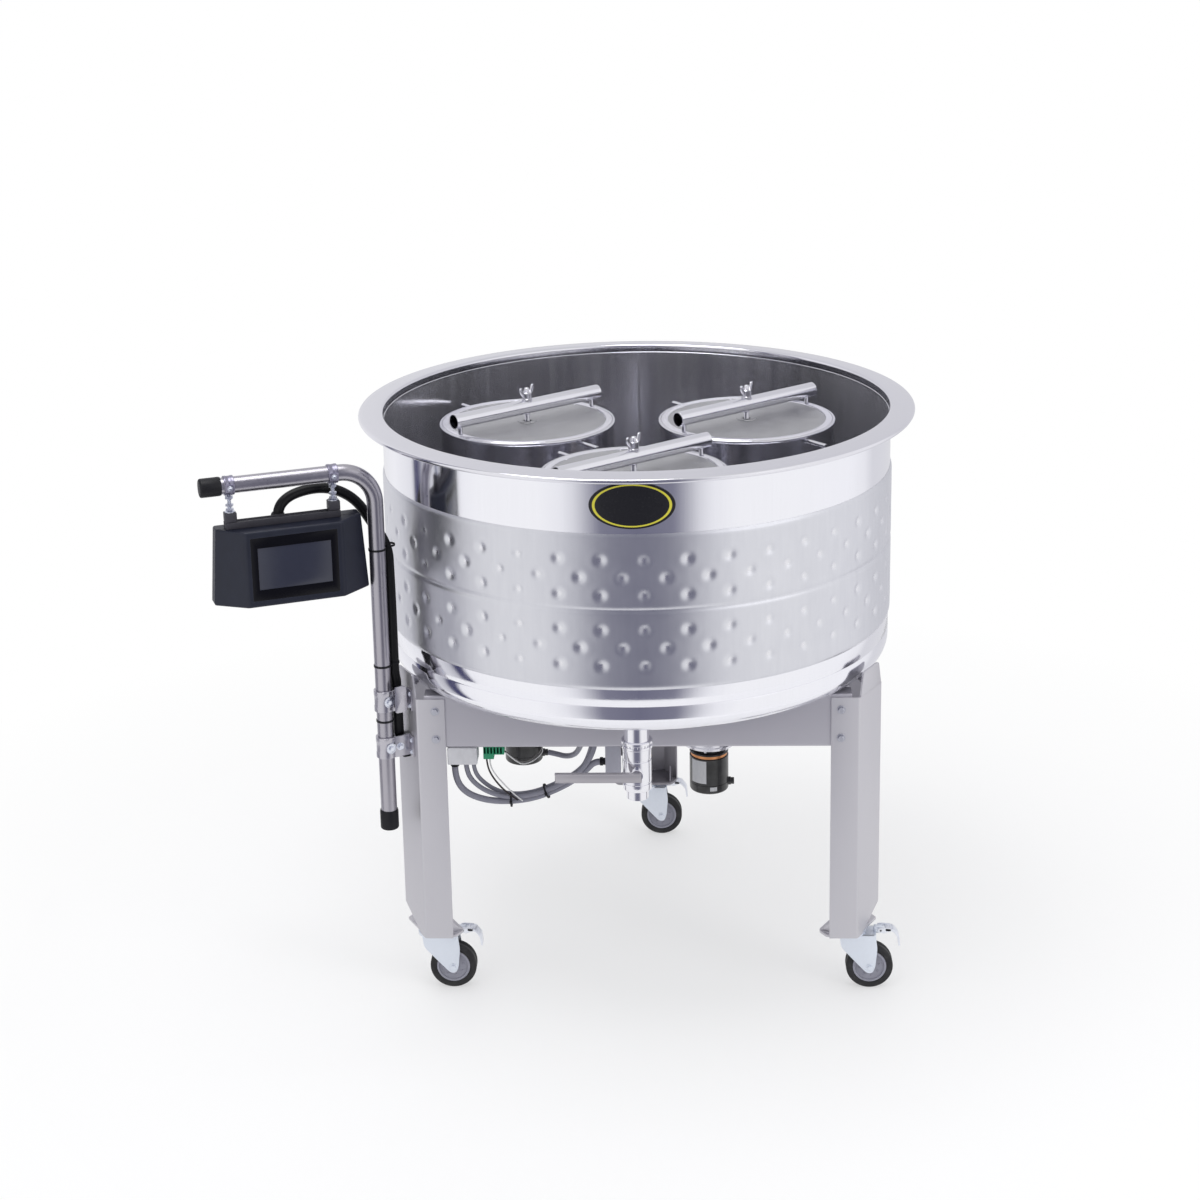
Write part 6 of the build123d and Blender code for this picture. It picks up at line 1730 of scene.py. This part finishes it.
CABLE_X, CABLE_Y = -0.36669, -0.28453
over = [(0.196, -0.022, 1.087), (0.196, -0.022, 1.109), (0.174, -0.030, 1.129), (0.138, -0.038, 1.137)]
over += [(0.098, -0.044, 1.137), (0.060, -0.046, 1.125), (0.026, -0.042, 1.099), (0.002, -0.041, 1.057)]
down = [(CABLE_X - 0.003, CABLE_Y + 0.011, 1.005), (CABLE_X - 0.001, CABLE_Y + 0.003, 0.947)]
down += [(CABLE_X, CABLE_Y, 0.887), (CABLE_X, CABLE_Y, 0.748), (CABLE_X, CABLE_Y, 0.730)]
down += [(-0.3629, -0.2823, 0.708), (-0.3629, -0.2823, 0.590)]
control_lead = cable("control_lead", [mast_point(*spot) for spot in over] + down, 0.0108, body=None)
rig.blend(control_lead, "mast", "root", start=(CABLE_X, CABLE_Y, 0.752), end=(CABLE_X, CABLE_Y, 0.700))
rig.replaces(control_lead, "control_cable", "cable_tail")
declare(control_lead, 0.736, 0.0216)

# %% Ties round the mast
mast_ties = []
for z in (1.006, 0.754, 0.633):
    ring = [(MAST_R, z - 0.0022), (MAST_R + 0.0013, z - 0.0020), (MAST_R + 0.0013, z + 0.0020), (MAST_R, z + 0.0022)]
    mast_ties.append(turned("mast_tie", ring + [ring[0]], 48, MAST))
    if z > 0.74:
        spot = (CABLE_X, CABLE_Y + (0.011 if z > 1 else 0), 0)
        ring = [(0.0108, z - 0.0022), (0.0122, z - 0.0020), (0.0122, z + 0.0020), (0.0108, z + 0.0022)]
        mast_ties.append(turned("cable_tie", ring + [ring[0]], 32, spot))
mast_ties = join("mast_ties", *mast_ties)
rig.ride(mast_ties, "mast")

# %% Hood on the leg
leg_frame = (KETTLE_X, 0, 0)
SIDE_AT = -(CABLE_X - MAST.x) * math.sin(LEG_TURN) + (CABLE_Y - MAST.y) * math.cos(LEG_TURN)
hood_outline = [(LEG_R, 0.590), (LEG_R + 0.026, 0.590), (LEG_R + 0.026, 0.557), (LEG_R + 0.014, 0.545), (LEG_R, 0.545)]
hood_corners = rounded([(x, SIDE_AT - 0.017, z) for x, z in hood_outline], [0.0008, 0.003, 0.004, 0.004, 0.0008])
hood = pressed("cable_hood_cover", hood_corners, (0, 0.034, 0), 0.0016, 3)
moved(hood, leg_frame, LEG_TURN)
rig.ride(hood, "root")
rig.replaces(hood, "cable_hood")

# %% [markdown]
# ## The mast's clamps
#
# Two split clamps on the leg carry the mast. Each is a pressed band round the tube with a flat arm and a foot on
# the leg, and a bright bolt with a wide washer closes it. The upper one also holds a pale wing plate. The band
# stays a hair clear of the tube, which turns in it.

# %% Two clamps, the upper one with its wing
def clamp_pieces(z, winged):
    low, high, bore, outer = z - 0.023, z + 0.023, MAST_R + 0.00012, MAST_R + 0.00408
    middle = LEG_R + 0.049
    ring = [(bore, low), (outer - 0.0006, low), (outer, low + 0.0006), (outer, z - 0.012), (outer - 0.0008, z - 0.0105)]
    ring += [(outer - 0.0008, z + 0.0105), (outer, z + 0.012), (outer, high - 0.0006), (outer - 0.0006, high), (bore, high)]
    pieces = [turned("clamp_band", ring + [ring[0]], 64, (middle, 0, 0))]
    arm_low = outer - 0.009
    pieces.append(boxed("clamp_arm", (LEG_R + 0.002, arm_low, low), (middle - 0.012, arm_low + 0.006, high), 0.0012, 3))
    pieces.append(boxed("clamp_foot", (LEG_R, arm_low, low), (LEG_R + 0.004, arm_low + 0.024, high), 0.001, 2))
    bolts = [bolt_head("foot_bolt", (LEG_R + 0.0036, arm_low + 0.0165, z + lift), (LEG_R + 0.02, arm_low + 0.0165, z + lift),
                       0.0042, 0.002, 0.0058) for lift in (-0.013, 0.013)]
    screw_x, arm_high = middle - 0.0245, arm_low + 0.006
    bolts.append(bolt_head("clamp_bolt", (screw_x, arm_high - 0.0002, z), (screw_x, arm_high + 0.012, z), 0.0058, 0.0068, 0.0085))
    facing = Vector((math.cos(math.radians(98)), math.sin(math.radians(98)), 0))
    start = Vector((middle, 0, z)) + facing * (outer - 0.0012)
    bolts.append(bolt_head("band_bolt", start, start + facing, 0.0056, 0.0036, 0.0098))
    bolts.append(bar("bolt_cup", start, start + facing, [(0.0099, 0), (0.0112, 0), (0.0112, 0.0022), (0.0099, 0.0022), (0.0099, 0)], 32))
    if winged:
        wing_low = arm_high + 0.0112
        outline = [(screw_x - 0.013, low), (screw_x + 0.013, low), (screw_x + 0.013, low + 0.058), (screw_x - 0.013, low + 0.058)]
        corners = rounded([(x, wing_low, z_) for x, z_ in outline], [0.009, 0.005, 0.004, 0.010])
        pieces.append(pressed("clamp_wing", corners, (0, 0.0038, 0), 0.0008))
    return pieces, bolts


clamp_bolts, clamps = [], []
for place, z in (("upper", 0.678), ("lower", 0.575)):
    pieces, bolts = clamp_pieces(z, place == "upper")
    clamps.append(moved(join(f"mast_clamp_{place}_set", *pieces), leg_frame, LEG_TURN))
    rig.ride(clamps[-1], "root")
    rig.replaces(clamps[-1], f"mast_clamp_{place}")
    clamp_bolts += bolts
clamp_bolts = moved(join("clamp_bolts", *clamp_bolts), leg_frame, LEG_TURN)
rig.ride(clamp_bolts, "root")

# %% Finishes of the mast group
mast_steel = steel("mast_steel", (0.46, 0.447, 0.475), 0.30, 0.12, (1, 1, 1), 0.006, 0.00002, "steel_satin", 0.14)
mast_steel.on(mast_pipe)
clamp_steel = steel("clamp_steel", (0.56, 0.55, 0.58), 0.3, 0.18, (1, 1, 0.3), 0.004, 0.00004, "zinc", 0.14)
clamp_steel.on(*clamps)
zinc.on(rods, clamp_bolts)
band_steel = steel("band_steel", (0.30, 0.29, 0.36), 0.34, 0.2, (1, 1, 1), 0.005, 0.00005, "zinc")
band_steel.on(bands)
black_part.on(caps, hood, mast_ties, socket)
housing_black = plastic("housing_black", (0.010, 0.012, 0.023), 0.42, 0.0014, 0.0001, "black_plastic", 1.6)
housing_black.set(**{"Specular IOR Level": 0.32})
housing_black.on(housing)
rail_grey = plastic("rail_grey", (0.026, 0.025, 0.033), 0.5, 0.0012, 0.0003, "black_plastic", 1.9)
rail_grey.on(rail)
gloss_black = plastic("gloss_black", (0.002, 0.002, 0.004), 0.22, 0.004, 0.00001, "black_plastic", 1.5)
gloss_black.set(**{"Specular IOR Level": 0.2})
gloss_black.on(bezel)
slate = plastic("slate_glass", (0.027, 0.030, 0.050), 0.16, 0.004, 0.00001, "display", 1.12)
slate.on(glass)
black_sheath = plastic("black_sheath", (0.003, 0.003, 0.004), 0.42, 0.003, 0.0001, "black_cable", 2.0)
black_sheath.set(**{"Specular IOR Level": 0.25})
black_sheath.on(control_lead)
print("mast group ready")
# %%
size_boxes = [cad_box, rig.bounds()]
json.dump([[list(corner) for corner in box] for box in size_boxes], open("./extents.json", "w"))
